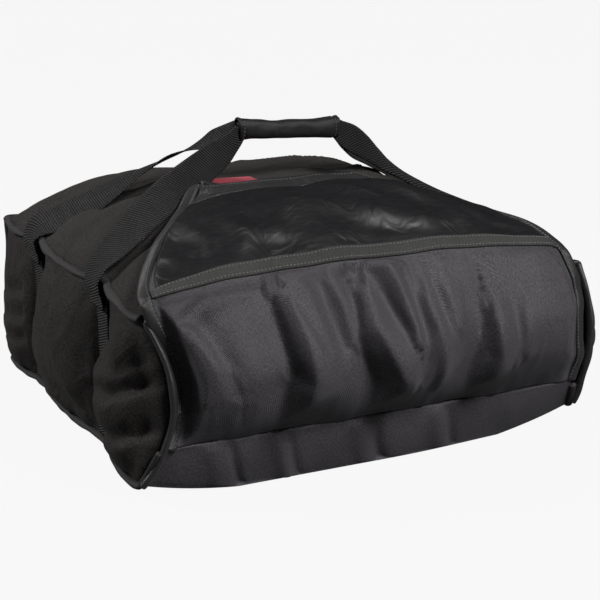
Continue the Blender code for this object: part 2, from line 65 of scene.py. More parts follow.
FOLD = Vector(JOINTS["flap_fold"]["pos_m"])


def middle(node):
    low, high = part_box(node)
    return (low + high) / 2


def span(node):
    low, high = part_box(node)
    return high - low


HALF_WIDTH = middle("rear_corner_piping_right").x
HALF_DEPTH = middle("rear_corner_piping_right").y
PIPING_RADIUS = span("rear_corner_piping_right").x / 2
RIM_HEIGHT = middle("rim_piping").z
FLOOR_SEAM_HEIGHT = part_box("floor_piping")[0].z + PIPING_RADIUS
TOP_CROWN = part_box("top_shell")[1].z - RIM_HEIGHT
STRAP_OFFSET = middle("side_web_rear_right").y
WEB_WIDTH = span("side_web_rear_right").y
WEB_THICKNESS = span("side_web_rear_right").x
SIDE_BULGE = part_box("right_side_shell")[1].x - HALF_WIDTH
REAR_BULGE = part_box("rear_shell")[1].y - HALF_DEPTH
SILL_HALF = middle("flap_front_binding_right").x + 0.013
FOLD_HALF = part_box("flap_top_binding")[1].x + 0.003
FLAP_END_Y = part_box("flap_top_binding")[1].y
FLAP_BULGE = HINGE.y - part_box("flap_front_shell")[0].y - 0.012
GRIP_LOW, GRIP_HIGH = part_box("grip_sleeve")
GRIP = (GRIP_LOW + GRIP_HIGH) / 2

# Body shapes that the frame doesn't state
MM = 0.001
RIM_LOBE = 0.006
RIM_PULL = 0.009
LEFT_CORNER_DROOP = 0.006
RIGHT_CORNER_DROOP = 0.007
REAR_EAR = 0.006
FLOOR_DROOP = 0.007
VALLEY_WIDTH = 0.040
SILL_TUCK = 0.012
MOUTH_REACH = 0.020
MOUTH_DRAW = 0.024
MOUTH_SPREAD = 0.004
MOUTH_PINCH = 0.007
SIDE_BELLY = 0.004
TOP_VALLEY = 0.004
TOP_WAVE = 0.0016
FLAP_EDGE_REACH = 0.014
FLAP_LIFT = 0.0045
FLAP_END_LIFT = 0.004
FLAP_EAR = 0.007
FOLD_LIFT = 0.015
PANEL_EDGE = 0.0018
PANEL_FULL = 0.0125
FLAP_EDGE = 0.0024
FLAP_FULL = 0.0110
LINING = 0.0006
GAP = 0.0004
BINDING_WIDTH = 0.012
BINDING_RISE = 0.0011
WEB_RIB = 0.0027
GRIP_LEAN = 0.006
PANEL_HALF_HEIGHT = 0.085
FRONT_HEIGHT = 0.155
FLAP_END_HALF = 0.140
SLEEVE_MIDDLE_HEIGHT = 0.0205
SLEEVE_SAG = 0.0012
CORE_HALF_THICKNESS = 0.0020
WINDOW_RISE = 0.0008
WINDOW_THICKNESS = 0.0005
TAPE_TOP = 0.0026
TAPE_STITCH_RISE = 0.0028
HEM_STITCH_RISE = 0.0030
STRIP_LOW = 0.0002
STRIP_TOP = 0.0012
LABEL_CURL = 0.0006
# a seam lip's width and height
RIM_LIP = (0.0090, 0.0052)
FLOOR_LIP = (0.0080, 0.0056)
CORNER_LIP = (0.0085, 0.0062)
MOUTH_LIP = (0.0110, 0.0072)
LIP_WAVE = 0.0006
# the flap's folds against their table
FOLD_DEPTH_SHARE = 1.20

# Photograph and camera
PHOTO_SIZE = 600
AZIMUTH = -26.08
ELEVATION = 14.74
FOCAL_PIXELS = 1496
DISTANCE = 1.759
AIM = Vector((0, 0, 0.14))
PRINCIPAL_X = 277
PRINCIPAL_Y = 282
SENSOR = 36
LAMP_AIM = Vector((0, 0, 0.12))
KEY_PLACE = (0.66, -1.86, 1.95)
LEFT_PLACE = (-1.75, 0.85, 1.6)
KEY_SIZE = 0.80
LEFT_SIZE = 0.40
KEY_WATTS = 97
LEFT_WATTS = 56
AMBIENT = 0.006
FLOOR_GREY = 0.12
FLOOR_WHITE_SHARE = 0.92
FLOOR_HALF = 60
FLOOR_GAP = 0.0005


# Fields over a skin
def pillow(share, power):
    return 1 - np.minimum(1, np.abs(share)) ** power


def ease(share):
    share = np.clip(share, 0, 1)
    return share * share * (3 - 2 * share)


def bell(share):
    return np.sin(np.pi * np.clip(share, 0, 1))


def spot(value, width):
    return np.exp(-((value / width) ** 2))


def lerp(low, high, share):
    return low + (high - low) * share


def ripples(u, v, pitch, seed, stretch=1.0, waves=18):
    """A smooth random field, about 1 high. stretch draws its waves out along v."""
    chance = np.random.RandomState(seed)
    total = np.zeros(np.broadcast(u, v).shape)
    for _ in range(waves):
        turn = chance.uniform(0, 2 * np.pi)
        size = pitch * chance.uniform(0.7, 1.5)
        phase = chance.uniform(0, 2 * np.pi)
        total += np.sin((u * np.cos(turn) + v * np.sin(turn) / stretch) * 2 * np.pi / size + phase)
    return total / math.sqrt(waves / 2)


def creased(field, sharpness=0.6):
    """Turns a smooth field into one with narrow ridges between broad hollows."""
    return 1 - np.abs(np.tanh(field / sharpness)) * 2


def stroke(x, y, points, left, right, height):
    """A ridge along a line, with its own width on the left and on the right of the way it runs."""
    best = np.full(x.shape, 1e9)
    side = np.zeros(x.shape)
    along = np.zeros(x.shape)
    lengths = [math.dist(p, q) for p, q in zip(points, points[1:])]
    start = 0
    for p, q, length in zip(points, points[1:], lengths):
        dx = (q[0] - p[0]) / length
        dy = (q[1] - p[1]) / length
        t = np.clip((x - p[0]) * dx + (y - p[1]) * dy, 0, length)
        away_x = x - p[0] - dx * t
        away_y = y - p[1] - dy * t
        far = np.hypot(away_x, away_y)
        near = far < best
        best = np.where(near, far, best)
        side = np.where(near, dx * away_y - dy * away_x, side)
        along = np.where(near, (start + t) / sum(lengths), along)
        start += length
    width = np.where(side > 0, left, right)
    taper = 0.45 + 0.55 * bell(lerp(0.15, 0.85, along))
    return height * taper * np.exp(-((best / width) ** 2))


def ridges(x, y, table, tall=MM):
    """The ridges of a table: a line of places, width on its right, width on its left, height.

    They are millimetres, but a line's second places count in units of tall.
    """
    total = np.zeros(x.shape)
    for points, right, left, height in table:
        line = [(across * MM, up * tall) for across, up in points]
        total += stroke(x, y, line, left * MM, right * MM, height * MM)
    return total


# Skins and meshes
class Skin:
    """A grid of points over shares u and v, with its normals and with places along the cloth in metres."""

    def __init__(self, us, vs, points, outward):
        self.us = np.asarray(us)
        self.vs = np.asarray(vs)
        self.points = points
        self.outward = np.asarray(outward, float)
        self.settle()

    def settle(self):
        across = np.gradient(self.points, axis=0)
        along = np.gradient(self.points, axis=1)
        normal = np.cross(across, along)
        normal /= np.linalg.norm(normal, axis=2, keepdims=True) + 1e-12
        way = np.sign((normal * self.outward).sum(axis=2).mean())
        self.normals = normal * way
        u = np.zeros(self.points.shape[:2])
        v = np.zeros(self.points.shape[:2])
        u[1:] = np.cumsum(np.linalg.norm(np.diff(self.points, axis=0), axis=2), axis=0)
        v[:, 1:] = np.cumsum(np.linalg.norm(np.diff(self.points, axis=1), axis=2), axis=1)
        self.cloth = np.stack([u - u[len(u) // 2], v], axis=2)

    def push(self, height):
        self.points = self.points + self.normals * height[..., None]
        self.settle()

    def sample(self, u, v, field):
        """Reads a field of the skin at any shares."""
        iu = np.clip(np.searchsorted(self.us, u) - 1, 0, len(self.us) - 2)
        iv = np.clip(np.searchsorted(self.vs, v) - 1, 0, len(self.vs) - 2)
        fu = ((u - self.us[iu]) / (self.us[iu + 1] - self.us[iu]))[..., None]
        fv = ((v - self.vs[iv]) / (self.vs[iv + 1] - self.vs[iv]))[..., None]
        near = field[iu, iv] * (1 - fu) + field[iu + 1, iv] * fu
        far = field[iu, iv + 1] * (1 - fu) + field[iu + 1, iv + 1] * fu
        return near * (1 - fv) + far * fv

    def at(self, u, v, rise=0.0):
        u, v = np.broadcast_arrays(np.asarray(u, float), np.asarray(v, float))
        place = self.sample(u, v, self.points)
        normal = self.sample(u, v, self.normals)
        normal /= np.linalg.norm(normal, axis=-1, keepdims=True)
        return place + normal * np.asarray(rise)[..., None]


def travelled(path):
    """The length along a path of points, at each of them."""
    steps = np.linalg.norm(np.diff(path, axis=0), axis=1)
    return np.concatenate([[0.0], np.cumsum(steps)])


def stations(low, high, length, step=0.0025):
    return np.linspace(low, high, max(3, int(round(length / step)) + 1))


def grid(us, vs):
    return np.meshgrid(us, vs, indexing="ij")


def add_object(name, data):
    made = bpy.data.objects.new(name, data)
    bpy.context.scene.collection.objects.link(made)
    return made


def make_mesh(name, points, faces, cloth, material, body=None):
    mesh = bpy.data.meshes.new(name)
    mesh.from_pydata(points.tolist(), [], faces)
    mesh.shade_smooth()
    where = mesh.attributes.new("cloth", "FLOAT_VECTOR", "POINT")
    flat = np.zeros((len(points), 3), np.float32)
    flat[:, :2] = cloth
    where.data.foreach_set("vector", flat.ravel())
    made = add_object(name, mesh)
    mesh.materials.append(material)
    mesh.validate()
    if body:
        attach(made, body)
    return made


def closed_faces(rows, columns, ring=False):
    """Quads of a closed slab whose outer grid comes first and whose inner grid follows it."""
    index = np.arange(rows * columns).reshape(rows, columns)
    back = index + rows * columns
    if ring:
        index = np.vstack([index, index[:1]])
        back = np.vstack([back, back[:1]])

    def quads(side):
        return np.stack([side[:-1, :-1], side[1:, :-1], side[1:, 1:], side[:-1, 1:]], -1).reshape(-1, 4)

    faces = [quads(index), quads(back)[:, ::-1]]

    def rim(outer, inner):
        faces.append(np.stack([outer[:-1], inner[:-1], inner[1:], outer[1:]], -1))

    rim(index[:, 0], back[:, 0])
    rim(index[::-1, -1], back[::-1, -1])
    if not ring:
        rim(index[-1], back[-1])
        rim(index[0, ::-1], back[0, ::-1])
    return np.vstack(faces)


def inside_out(points, faces):
    """Whether quads round a body turn their outsides inwards."""
    a, b, c, d = points[faces].transpose(1, 0, 2)
    return np.einsum("ij,ij->i", a, np.cross(b, c) + np.cross(c, d)).sum() < 0


def closed(name, outer, inner, cloth, material, body=None, ring=False):
    """A closed body between two grids of points."""
    rows, columns = outer.shape[:2]
    points = np.vstack([outer.reshape(-1, 3), inner.reshape(-1, 3)])
    faces = closed_faces(rows, columns, ring)
    if inside_out(points, faces):
        faces = faces[:, ::-1]
    both = np.vstack([cloth.reshape(-1, 2)] * 2)
    return make_mesh(name, points, faces.tolist(), both, material, body)


def patch(name, skin, us, vs, low, high, material, body=None):
    """A thin sheet that lies on a skin, between two rises above it."""
    u, v = grid(us, vs)
    low = np.broadcast_to(low, u.shape)
    high = np.broadcast_to(high, u.shape)
    cloth = skin.sample(u, v, skin.cloth)
    return closed(name, skin.at(u, v, high), skin.at(u, v, low), cloth, material, body)


def sweep(name, path, across, normal, profile, material, body=None):
    """A closed bar: a profile of (across, normal) places, in metres, carried along a path of points."""
    steps = len(path)
    section = np.asarray(profile)
    if section.ndim == 2:
        section = np.broadcast_to(section, (steps, *section.shape))
    count = section.shape[1]
    rings = path[:, None] + across[:, None] * section[..., :1] + normal[:, None] * section[..., 1:]
    points = rings.reshape(-1, 3)
    index = np.arange(steps * count).reshape(steps, count)
    after = np.roll(index, -1, axis=1)
    faces = np.stack([index[:-1], after[:-1], after[1:], index[1:]], -1).reshape(-1, 4)
    turned = inside_out(points, faces)
    faces = faces.tolist() + [index[0][::-1].tolist(), index[-1].tolist()]
    if turned:
        faces = [face[::-1] for face in faces]
    cloth = np.stack([section[..., 0], np.broadcast_to(travelled(path)[:, None], (steps, count))], -1)
    return make_mesh(name, points, faces, cloth.reshape(-1, 2), material, body)


def rounded(width, height, sides=12, power=2.0):
    """A profile: an ellipse, or a fuller rounded bar with a higher power."""
    angle = np.arange(sides) * 2 * np.pi / sides
    c, s = np.cos(angle), np.sin(angle)
    across = np.sign(c) * np.abs(c) ** (2 / power) * width / 2
    up = np.sign(s) * np.abs(s) ** (2 / power) * height / 2
    return np.stack([across, up], -1)


def smooth_line(points, steps):
    """A smooth curve through points, at even shares of its length. Works on any number of columns."""
    points = np.asarray(points, float)
    knots = travelled(points[:, :3])
    slopes = np.gradient(points, knots, axis=0)
    where = np.linspace(0, knots[-1], steps)
    i = np.clip(np.searchsorted(knots, where) - 1, 0, len(points) - 2)
    gap = (knots[i + 1] - knots[i])[:, None]
    t = (where[:, None] - knots[i][:, None]) / gap
    return (
        points[i] * (1 + 2 * t) * (1 - t) ** 2
        + slopes[i] * gap * t * (1 - t) ** 2
        + points[i + 1] * t * t * (3 - 2 * t)
        + slopes[i + 1] * gap * t * t * (t - 1)
    )


def directions(path):
    along = np.gradient(path, axis=0)
    return along / np.linalg.norm(along, axis=1, keepdims=True)


def square_to(along, wish):
    """The wished directions, made square to the path."""
    wish = np.broadcast_to(wish, along.shape)
    wish = wish - along * (along * wish).sum(axis=1, keepdims=True)
    return wish / np.linalg.norm(wish, axis=1, keepdims=True)


def stitches(name, path, normal, material, body=None, pitch=0.0040, length=0.0027, size=0.0011):
    """A row of thread stitches along a path, as one mesh of small spindles."""
    travel = travelled(path)

    def read(table, place):
        return np.array([np.interp(place, travel, table[:, k]) for k in range(3)])

    points = []
    faces = []
    for centre in np.arange(pitch, travel[-1] - pitch, pitch):
        start = read(path, centre - length / 2)
        end = read(path, centre + length / 2)
        up = read(normal, centre)
        beside = np.cross((end - start) / np.linalg.norm(end - start), up)
        heart = (start + end) / 2
        base = len(points)
        points += [start, end, heart + up * size / 2, heart + beside * size / 2]
        points += [heart - up * size / 2, heart - beside * size / 2]
        for first, second in ((2, 3), (3, 4), (4, 5), (5, 2)):
            faces.append([base, base + first, base + second])
            faces.append([base + 1, base + second, base + first])
    points = np.array(points)
    return make_mesh(name, points, faces, np.zeros((len(points), 2)), material, body)


# Materials
SOCKETS = {
    "colour": "Base Color",
    "rough": "Roughness",
    "shine": "Specular IOR Level",
    "alpha": "Alpha",
    "sheen": "Sheen Weight",
    "sheen_rough": "Sheen Roughness",
    "sheen_tint": "Sheen Tint",
}


def node_maker(owner):
    tree = owner.node_tree

    def make(kind, inputs=None, **settings):
        node = tree.nodes.new(kind)
        for key, value in settings.items():
            setattr(node, key, value)
        for key, value in (inputs or {}).items():
            if isinstance(value, bpy.types.NodeSocket):
                tree.links.new(value, node.inputs[key])
            else:
                node.inputs[key].default_value = value
        return node

    return make


def blank(name, **values):
    """A new material, its surface, a node maker and its links. Values are set on the surface's sockets."""
    material = bpy.data.materials.new(name)
    material.use_nodes = True
    surface = material.node_tree.nodes["Principled BSDF"]
    for key, value in values.items():
        surface.inputs[SOCKETS[key]].default_value = value
    return material, surface, node_maker(material), material.node_tree.links


def calc(make, operation, first, second=0.5):
    return make("ShaderNodeMath", {0: first, 1: second}, operation=operation).outputs[0]


def remap(make, value, low, high, to_low, to_high):
    return make("ShaderNodeMapRange", {"Value": value, 1: low, 2: high, 3: to_low, 4: to_high}).outputs[0]


def scaled_colour(make, colour, factor):
    return make("ShaderNodeVectorMath", {0: colour, "Scale": factor}, operation="SCALE").outputs[0]


def noise(make, scale, detail, **more):
    return make("ShaderNodeTexNoise", {"Scale": scale, "Detail": detail, **more}).outputs[0]


def bumped(make, strength, distance, height, **more):
    inputs = {"Strength": strength, "Distance": distance, "Height": height, **more}
    return make("ShaderNodeBump", inputs).outputs[0]


def cloth_places(make):
    """Where a point lies on its own cloth, in metres across and along it."""
    return make("ShaderNodeAttribute", attribute_name="cloth", attribute_type="GEOMETRY").outputs["Vector"]


def waves(make, place, pitch):
    return calc(make, "SINE", calc(make, "MULTIPLY", place, 2 * math.pi / pitch))


def weave_height(make, pitch):
    """Height of a woven cloth: two crossing sets of threads."""
    parts = make("ShaderNodeSeparateXYZ", {0: cloth_places(make)})
    across = waves(make, parts.outputs[0], pitch)
    return calc(make, "MULTIPLY", across, waves(make, parts.outputs[1], pitch))


def mottled(make, colour, dark, light, scale, detail=4.0):
    """A colour that varies a little over the object."""
    where = make("ShaderNodeTexCoord").outputs["Object"]
    field = noise(make, scale, detail, Vector=where, Roughness=0.6)
    return scaled_colour(make, colour, remap(make, field, 0.3, 0.7, dark, light))


def woven_cloth(
    name,
    colour,
    rough=0.62,
    pitch=0.0021,
    bump=0.00018,
    sheen=0.25,
    tint=(0.8, 0.78, 0.85),
    crumple=0.0012,
    shine=0.45,
    grain_and_shade=0.28,
):
    """Woven cloth with its threads, painted shade that darkens the weave's hollows and lightens its crests, a
    random grain of lighter and darker specks, and soft crumples.
    """
    material, surface, make, link = blank(
        name, rough=rough, shine=shine, sheen=sheen, sheen_rough=0.45, sheen_tint=(*tint, 1)
    )
    where = cloth_places(make)
    height = weave_height(make, pitch)
    # Painted shade: the colour follows the weave's height, darker in its hollows and lighter on its crests
    shade = remap(make, height, -1.0, 1.0, 1 - grain_and_shade, 1 + grain_and_shade)
    speck = remap(make, noise(make, 420.0, 2.0, Vector=where), 0.3, 0.7, 1 - grain_and_shade, 1 + grain_and_shade)
    both = calc(make, "MULTIPLY", shade, speck)
    final = scaled_colour(make, mottled(make, colour, 0.85, 1.15, 9), both)
    link.new(final, surface.inputs["Base Color"])
    crumples = noise(make, 24.0, 3.0, Vector=where, Roughness=0.5, Distortion=0.8)
    soft = bumped(make, 0.8, crumple, crumples)
    link.new(bumped(make, 0.6, bump, height, Normal=soft), surface.inputs["Normal"])
    return material


def ribbed_web(name, colour, pitch, bump):
    """Webbing: slanted ribs across its width, and fine threads between them."""
    material, surface, make, link = blank(name, rough=0.55, shine=0.2)
    parts = make("ShaderNodeSeparateXYZ", {0: cloth_places(make)})
    slanted = calc(make, "ADD", parts.outputs[1], calc(make, "MULTIPLY", parts.outputs[0], 0.35))
    fine = calc(make, "MULTIPLY", weave_height(make, 0.0012), 0.35)
    height = calc(make, "ADD", waves(make, slanted, pitch), fine)
    # Painted shade: the colour follows the rib height, near black in the grooves between the ribs and lighter
    # on the ribs
    shade = remap(make, height, -1.1, 1.1, 0.05, 1.85)
    final = scaled_colour(make, mottled(make, colour, 0.85, 1.15, 60), shade)
    link.new(final, surface.inputs["Base Color"])
    link.new(bumped(make, 0.8, bump, height), surface.inputs["Normal"])
    return material


def clear_vinyl(name):
    """Thin clear sheet, dull in places and wrinkled on a slant."""
    material, surface, make, link = blank(name, colour=(0.008, 0.0075, 0.0085, 1), shine=0.42, alpha=0.62)
    rough = remap(make, noise(make, 35.0, 3.0), 0.3, 0.7, 0.42, 0.54)
    link.new(rough, surface.inputs["Roughness"])
    slant = {"Vector": cloth_places(make), "Rotation": (0, 0, -0.6), "Scale": (1, 2.0, 1)}
    drawn = make("ShaderNodeMapping", slant).outputs[0]
    wrinkles = noise(make, 30.0, 1.2, Vector=drawn, Roughness=0.4, Distortion=0.9)
    link.new(bumped(make, 1.0, 0.0022, wrinkles), surface.inputs["Normal"])
    return material


def thread(name, colour):
    material, surface, make, link = blank(name, rough=0.6)
    link.new(mottled(make, colour, 0.7, 1.3, 400), surface.inputs["Base Color"])
    return material


def napped(name, colour):
    """The fuzz of hooks and loops."""
    material, surface, make, link = blank(name, rough=0.95, sheen=0.3)
    link.new(mottled(make, colour, 0.5, 1.6, 900, 2.0), surface.inputs["Base Color"])
    link.new(bumped(make, 0.8, 0.0008, noise(make, 1200.0, 2.0)), surface.inputs["Normal"])
    return material


outer_cloth = woven_cloth(
    "outer_cloth", (0.0395, 0.0362, 0.0405), 0.56, 0.0025, 0.0003, 0.05, crumple=0.0018, shine=0.26, grain_and_shade=0.45
)
# Painted shade: the same cloth as outer_cloth, painted darker and warmer, for the top, the sides and the rear
painted_shade_cloth = woven_cloth(
    "painted_shade_cloth", (0.025, 0.0232, 0.0226), 0.6, 0.0025, 0.0003, 0.02, (0.8, 0.78, 0.75), 0.007, 0.03, 0.45
)
lining_cloth = woven_cloth("lining_cloth", (0.035, 0.035, 0.037), 0.55, 0.0013, 0.0001, 0.1)
tape_cloth = woven_cloth("tape_cloth", (0.031, 0.032, 0.030), 0.7, 0.0016, 0.00025, 0.03, shine=0.15)
binding_cloth = woven_cloth("binding_cloth", (0.015, 0.015, 0.0146), 0.38, 0.0014, 0.0002, 0.03, shine=0.38)
lip_cloth = woven_cloth("lip_cloth", (0.024, 0.0225, 0.022), 0.6, 0.0018, 0.0002, 0.03, shine=0.15)
mouth_cloth = woven_cloth("mouth_cloth", (0.015, 0.015, 0.0154), 0.36, 0.0018, 0.0002, 0.04, shine=0.42)
sleeve_cloth = woven_cloth(
    "sleeve_cloth", (0.010, 0.0094, 0.010), 0.5, sheen=0.02, crumple=0.005, shine=0.22, grain_and_shade=0.4
)
webbing = ribbed_web("webbing", (0.020, 0.020, 0.020), 0.0029, 0.0010)
window_vinyl = clear_vinyl("window_vinyl")
dark_thread = thread("dark_thread", (0.008, 0.008, 0.008))
grey_thread = thread("grey_thread", (0.13, 0.13, 0.125))
strip_nap = napped("strip_nap", (0.012, 0.012, 0.012))
label_cloth = woven_cloth("label_cloth", (0.26, 0.026, 0.042), 0.6, 0.0012, 0.0002, 0.1, (1, 0.8, 0.8))


# Body
def lobe(y, valley=VALLEY_WIDTH, power=2.6, roundness=1.0):
    """1 on the crown of each of a side's three pillows, 0 in the strap valleys and at the corners."""
    inner = STRAP_OFFSET - valley / 2
    outer = STRAP_OFFSET + valley / 2
    y = np.abs(y)
    middle_pillow = pillow(y / inner, power)
    end_pillow = pillow((2 * y - outer - HALF_DEPTH) / (HALF_DEPTH - outer), power)
    height = np.where(y <= inner, middle_pillow, np.where(y <= outer, 0, end_pillow))
    return height**roundness


def rim_half(y):
    return HALF_WIDTH + RIM_LOBE * lobe(y)


def rim_line(x, y):
    """Height of the rim: pulled up where the straps cross it, drooping at the front left corner."""
    pulled = RIM_PULL * spot(np.abs(y) - STRAP_OFFSET, 0.030)
    corner = LEFT_CORNER_DROOP * ease((-y - 0.16) / 0.06) * ease(-x / 0.1)
    far_corner = RIGHT_CORNER_DROOP * ease((-y - 0.14) / 0.06) * ease((x - 0.1) / 0.1)
    ear = REAR_EAR * ease((y - 0.185) / 0.035) * ease(-x / 0.1)
    return RIM_HEIGHT + pulled - corner - far_corner + ear


def floor_line(x, y):
    """Height of the floor seam: it sits lower at the front left corner."""
    return FLOOR_SEAM_HEIGHT - FLOOR_DROOP * ease((-y - 0.12) / 0.10) * ease(-x / 0.1)


def top_height(x, y, pinching=1.0):
    """The puffed top, pinched where the straps cross the rim."""
    pinch = pinching * spot(np.abs(y) - STRAP_OFFSET, 0.028)
    left = lerp(4.2, 3.1, ease((y + 0.05) / 0.2)) + 3.4 * ease((y - 0.17) / 0.03)
    right = lerp(lerp(3.6, 2.5, ease((y + 0.19) / 0.09)), 4.2, ease((y + 0.06) / 0.2))
    power = lerp(left, right, ease((x + 0.08) / 0.16))
    power = lerp(power, np.minimum(power, 2.9), pinch)
    out = np.minimum(1, np.abs(x) / rim_half(y))
    depth_power = lerp(4.3, 7.2, ease(y / 0.15) * ease(-x / 0.2))
    crown = TOP_CROWN * (1 - out**power) * pillow(y / HALF_DEPTH, depth_power)
    return lerp(RIM_HEIGHT, rim_line(x, y), pinching * out**6) + crown


def inner_face(skin, thickness, passes=30):
    """The calmer inner face of a padded panel, whose filling takes up the small folds."""
    points = skin.points - skin.normals * thickness[..., None]
    for _ in range(passes):
        around = (points[:-2, 1:-1] + points[2:, 1:-1] + points[1:-1, :-2] + points[1:-1, 2:]) / 4
        points = points.copy()
        points[1:-1, 1:-1] = (points[1:-1, 1:-1] + around) / 2
    return Skin(skin.us, skin.vs, points, skin.outward)


def seam_puckers(distance, along, seed, pitch=0.016, reach=0.018):
    """Small gathers that run off a seam."""
    return ripples(along, distance * 0, pitch, seed) * np.exp(-distance / reach)


def lining(name, inner, cloth, body, nodes):
    """The lining sheet just behind the inner face of a padded panel, and that sheet's far side."""
    near = inner.points - inner.normals * GAP
    far = inner.points - inner.normals * (GAP + LINING)
    sheet = closed(name, near, far, cloth, lining_cloth, body)
    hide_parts(*nodes)
    return sheet, far


# By default a panel takes the darker copy of the outer cloth, which carries painted shade
def panel(word, skin, edge=PANEL_EDGE, material=painted_shade_cloth):
    """Outer padded cloth and lining sheet of one panel of the body, in place of its three CAD layers."""
    u, v = grid(skin.us, skin.vs)
    middle_u = (2 * u - skin.us[0] - skin.us[-1]) / (skin.us[-1] - skin.us[0])
    middle_v = (2 * v - skin.vs[0] - skin.vs[-1]) / (skin.vs[-1] - skin.vs[0])
    thickness = lerp(edge, PANEL_FULL, pillow(middle_u, 4) * pillow(middle_v, 4))
    inner = inner_face(skin, thickness)
    name = word + "_panel"
    cover = closed(name, skin.points, inner.points, skin.cloth, material, "bag_body")
    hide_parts(word + "_shell", word + "_pad")
    lining(word + "_inner_cloth", inner, skin.cloth, "bag_body", [word + "_lining"])


TOP_CREASES = (
    # places are across and depth
    (((-240, 62), (-205, 50), (-150, 60)), 16, 8, -3),
    (((-245, 30), (-215, 10), (-165, 15)), 18, 10, -3.2),
    (((-240, -30), (-215, -20), (-180, -30)), 16, 8, -2.8),
    (((-244, 150), (-215, 140), (-180, 155)), 18, 10, -3),
    (((-190, 100), (-150, 85), (-90, 92)), 20, 12, 2.6),
    (((-200, -70), (-170, -40), (-150, 10)), 18, 12, 2.6),
    (((-60, 100), (20, 85), (80, 110)), 24, 14, 2.2),
    (((240, 40), (200, 30), (150, 50)), 18, 10, -3),
    (((240, 150), (200, 140), (150, 160)), 18, 10, -3),
)


def top_panel():
    a, b = grid(stations(-1, 1, 2 * HALF_WIDTH), stations(-1, 1, 2 * HALF_DEPTH))
    y = b * (HALF_DEPTH - GAP)
    x = a * (rim_half(y) - GAP)
    points = np.stack([x, y, top_height(x, y)], -1)
    skin = Skin(a[:, 0], b[0], points, (0, 0, 1))
    edge_x = (1 - np.abs(a)) * HALF_WIDTH
    edge_y = (1 - np.abs(b)) * HALF_DEPTH
    free = 1 - ease(1 - np.minimum(edge_x, edge_y) / 0.012)
    height = 0.0009 * seam_puckers(edge_x, y, 3, 0.024) + 0.0009 * seam_puckers(edge_y, x, 4, 0.024)
    height += TOP_WAVE * ripples(x, y, 0.13, 11, 2.0) * ease(edge_x / 0.05)
    valley = spot(np.abs(y) - STRAP_OFFSET, 0.016) * spot(edge_x - 0.02, 0.045)
    height -= TOP_VALLEY * valley
    height += ridges(x, y, TOP_CREASES)
    behind = ease((y - FLAP_END_Y) / 0.03)
    height += 0.0022 * creased(ripples(x * 0.5, y, 0.07, 15, 1.0)) * behind * spot(x - 0.10, 0.12)
    skin.push(height * free)
    panel("top", skin)
    return skin


SIDE_CREASES = (
    # places are towards the front and height
    (((-190, 116), (-150, 126), (-125, 128)), 7, 12, -5),
    (((-192, 86), (-150, 94), (-124, 100)), 7, 12, -5),
    (((-192, 58), (-150, 66), (-126, 74)), 7, 12, -5),
    (((128, 92), (175, 98), (222, 122)), 6, 14, -8.5),
    (((135, 46), (180, 52), (220, 72)), 6, 14, -8.5),
    (((140, 120), (185, 126), (222, 146)), 6, 12, -4.5),
    (((-60, 50), (0, 60), (60, 44)), 10, 20, -4),
    (((-70, 150), (-30, 100), (-10, 60)), 8, 20, 3),
    (((-20, 165), (20, 120), (50, 70)), 8, 18, 3),
)


def side_panel(word, side):
    b, c = grid(stations(-1, 1, 2 * HALF_DEPTH), stations(-1, 1, 0.19))
    y = b * (HALF_DEPTH - GAP)
    x = np.full(y.shape, side * HALF_WIDTH)
    z = lerp(floor_line(x, y), rim_line(x, y), (c + 1) / 2)
    if side < 0:
        fullness = lerp(1.1, 0.72, ease((y - 0.08) / 0.05))
    else:
        fullness = lerp(1.50, 1.0, ease((y + 0.14) / 0.05))
    mid_height = pillow(c, 2.6)
    rounder = lobe(y, VALLEY_WIDTH * (1 - 0.62 * mid_height), 2.3, 0.62)
    ahead = np.where(y < -STRAP_OFFSET, -STRAP_OFFSET - y, STRAP_OFFSET - y) - 0.015
    flank = lerp(1, ease(ahead / 0.070), ease((c + 0.05) / 0.45) * (y < STRAP_OFFSET))
    drawn = ease((c + 1) / 0.9) if side > 0 else 1
    swell = lerp(RIM_LOBE * lobe(y), SIDE_BULGE * fullness * rounder * flank, mid_height) * drawn
    valley = (STRAP_OFFSET + VALLEY_WIDTH / 2) / HALF_DEPTH
    towards = np.maximum(0, (-b - valley) / (1 - valley))
    bow = MOUTH_REACH * pillow(c, 2) ** 0.9 * towards
    draw = (MOUTH_DRAW if side < 0 else -MOUTH_SPREAD) * pillow(c, 2) * towards**2.2
    corner = 0.006 * ease(-c) * towards if side < 0 else 0
    points = np.stack([side * (HALF_WIDTH + swell - draw + corner), y - bow, z], -1)
    skin = Skin(b[:, 0], c[0], points, (side, 0, 0))
    seed = 20 if side < 0 else 40
    edge_y = (1 - np.abs(b)) * HALF_DEPTH
    edge_z = (1 - np.abs(c)) * PANEL_HALF_HEIGHT
    free = 1 - ease(1 - np.minimum(edge_y, edge_z) / 0.010)
    from_web = np.abs(np.abs(y) - STRAP_OFFSET) - VALLEY_WIDTH / 2
    body_cloth = ease(from_web / 0.012)
    height = 0.0010 * seam_puckers(edge_z, y, seed, 0.026, 0.02)
    height += 0.0012 * seam_puckers(np.maximum(from_web, 0), z, seed + 1, 0.034, 0.018) * body_cloth
    height += 0.0012 * ripples(y, z * 1.2, 0.10, seed + 2, 1.6) * body_cloth
    height += SIDE_BELLY * spot(c + 0.62, 0.38) * lobe(y)
    if side < 0:
        height -= MOUTH_PINCH * spot(y + HALF_DEPTH - 0.016, 0.010) * mid_height
    height += ridges(-y, z, SIDE_CREASES) * body_cloth
    skin.push(height * free)
    panel(word + "_side", skin)
    return skin


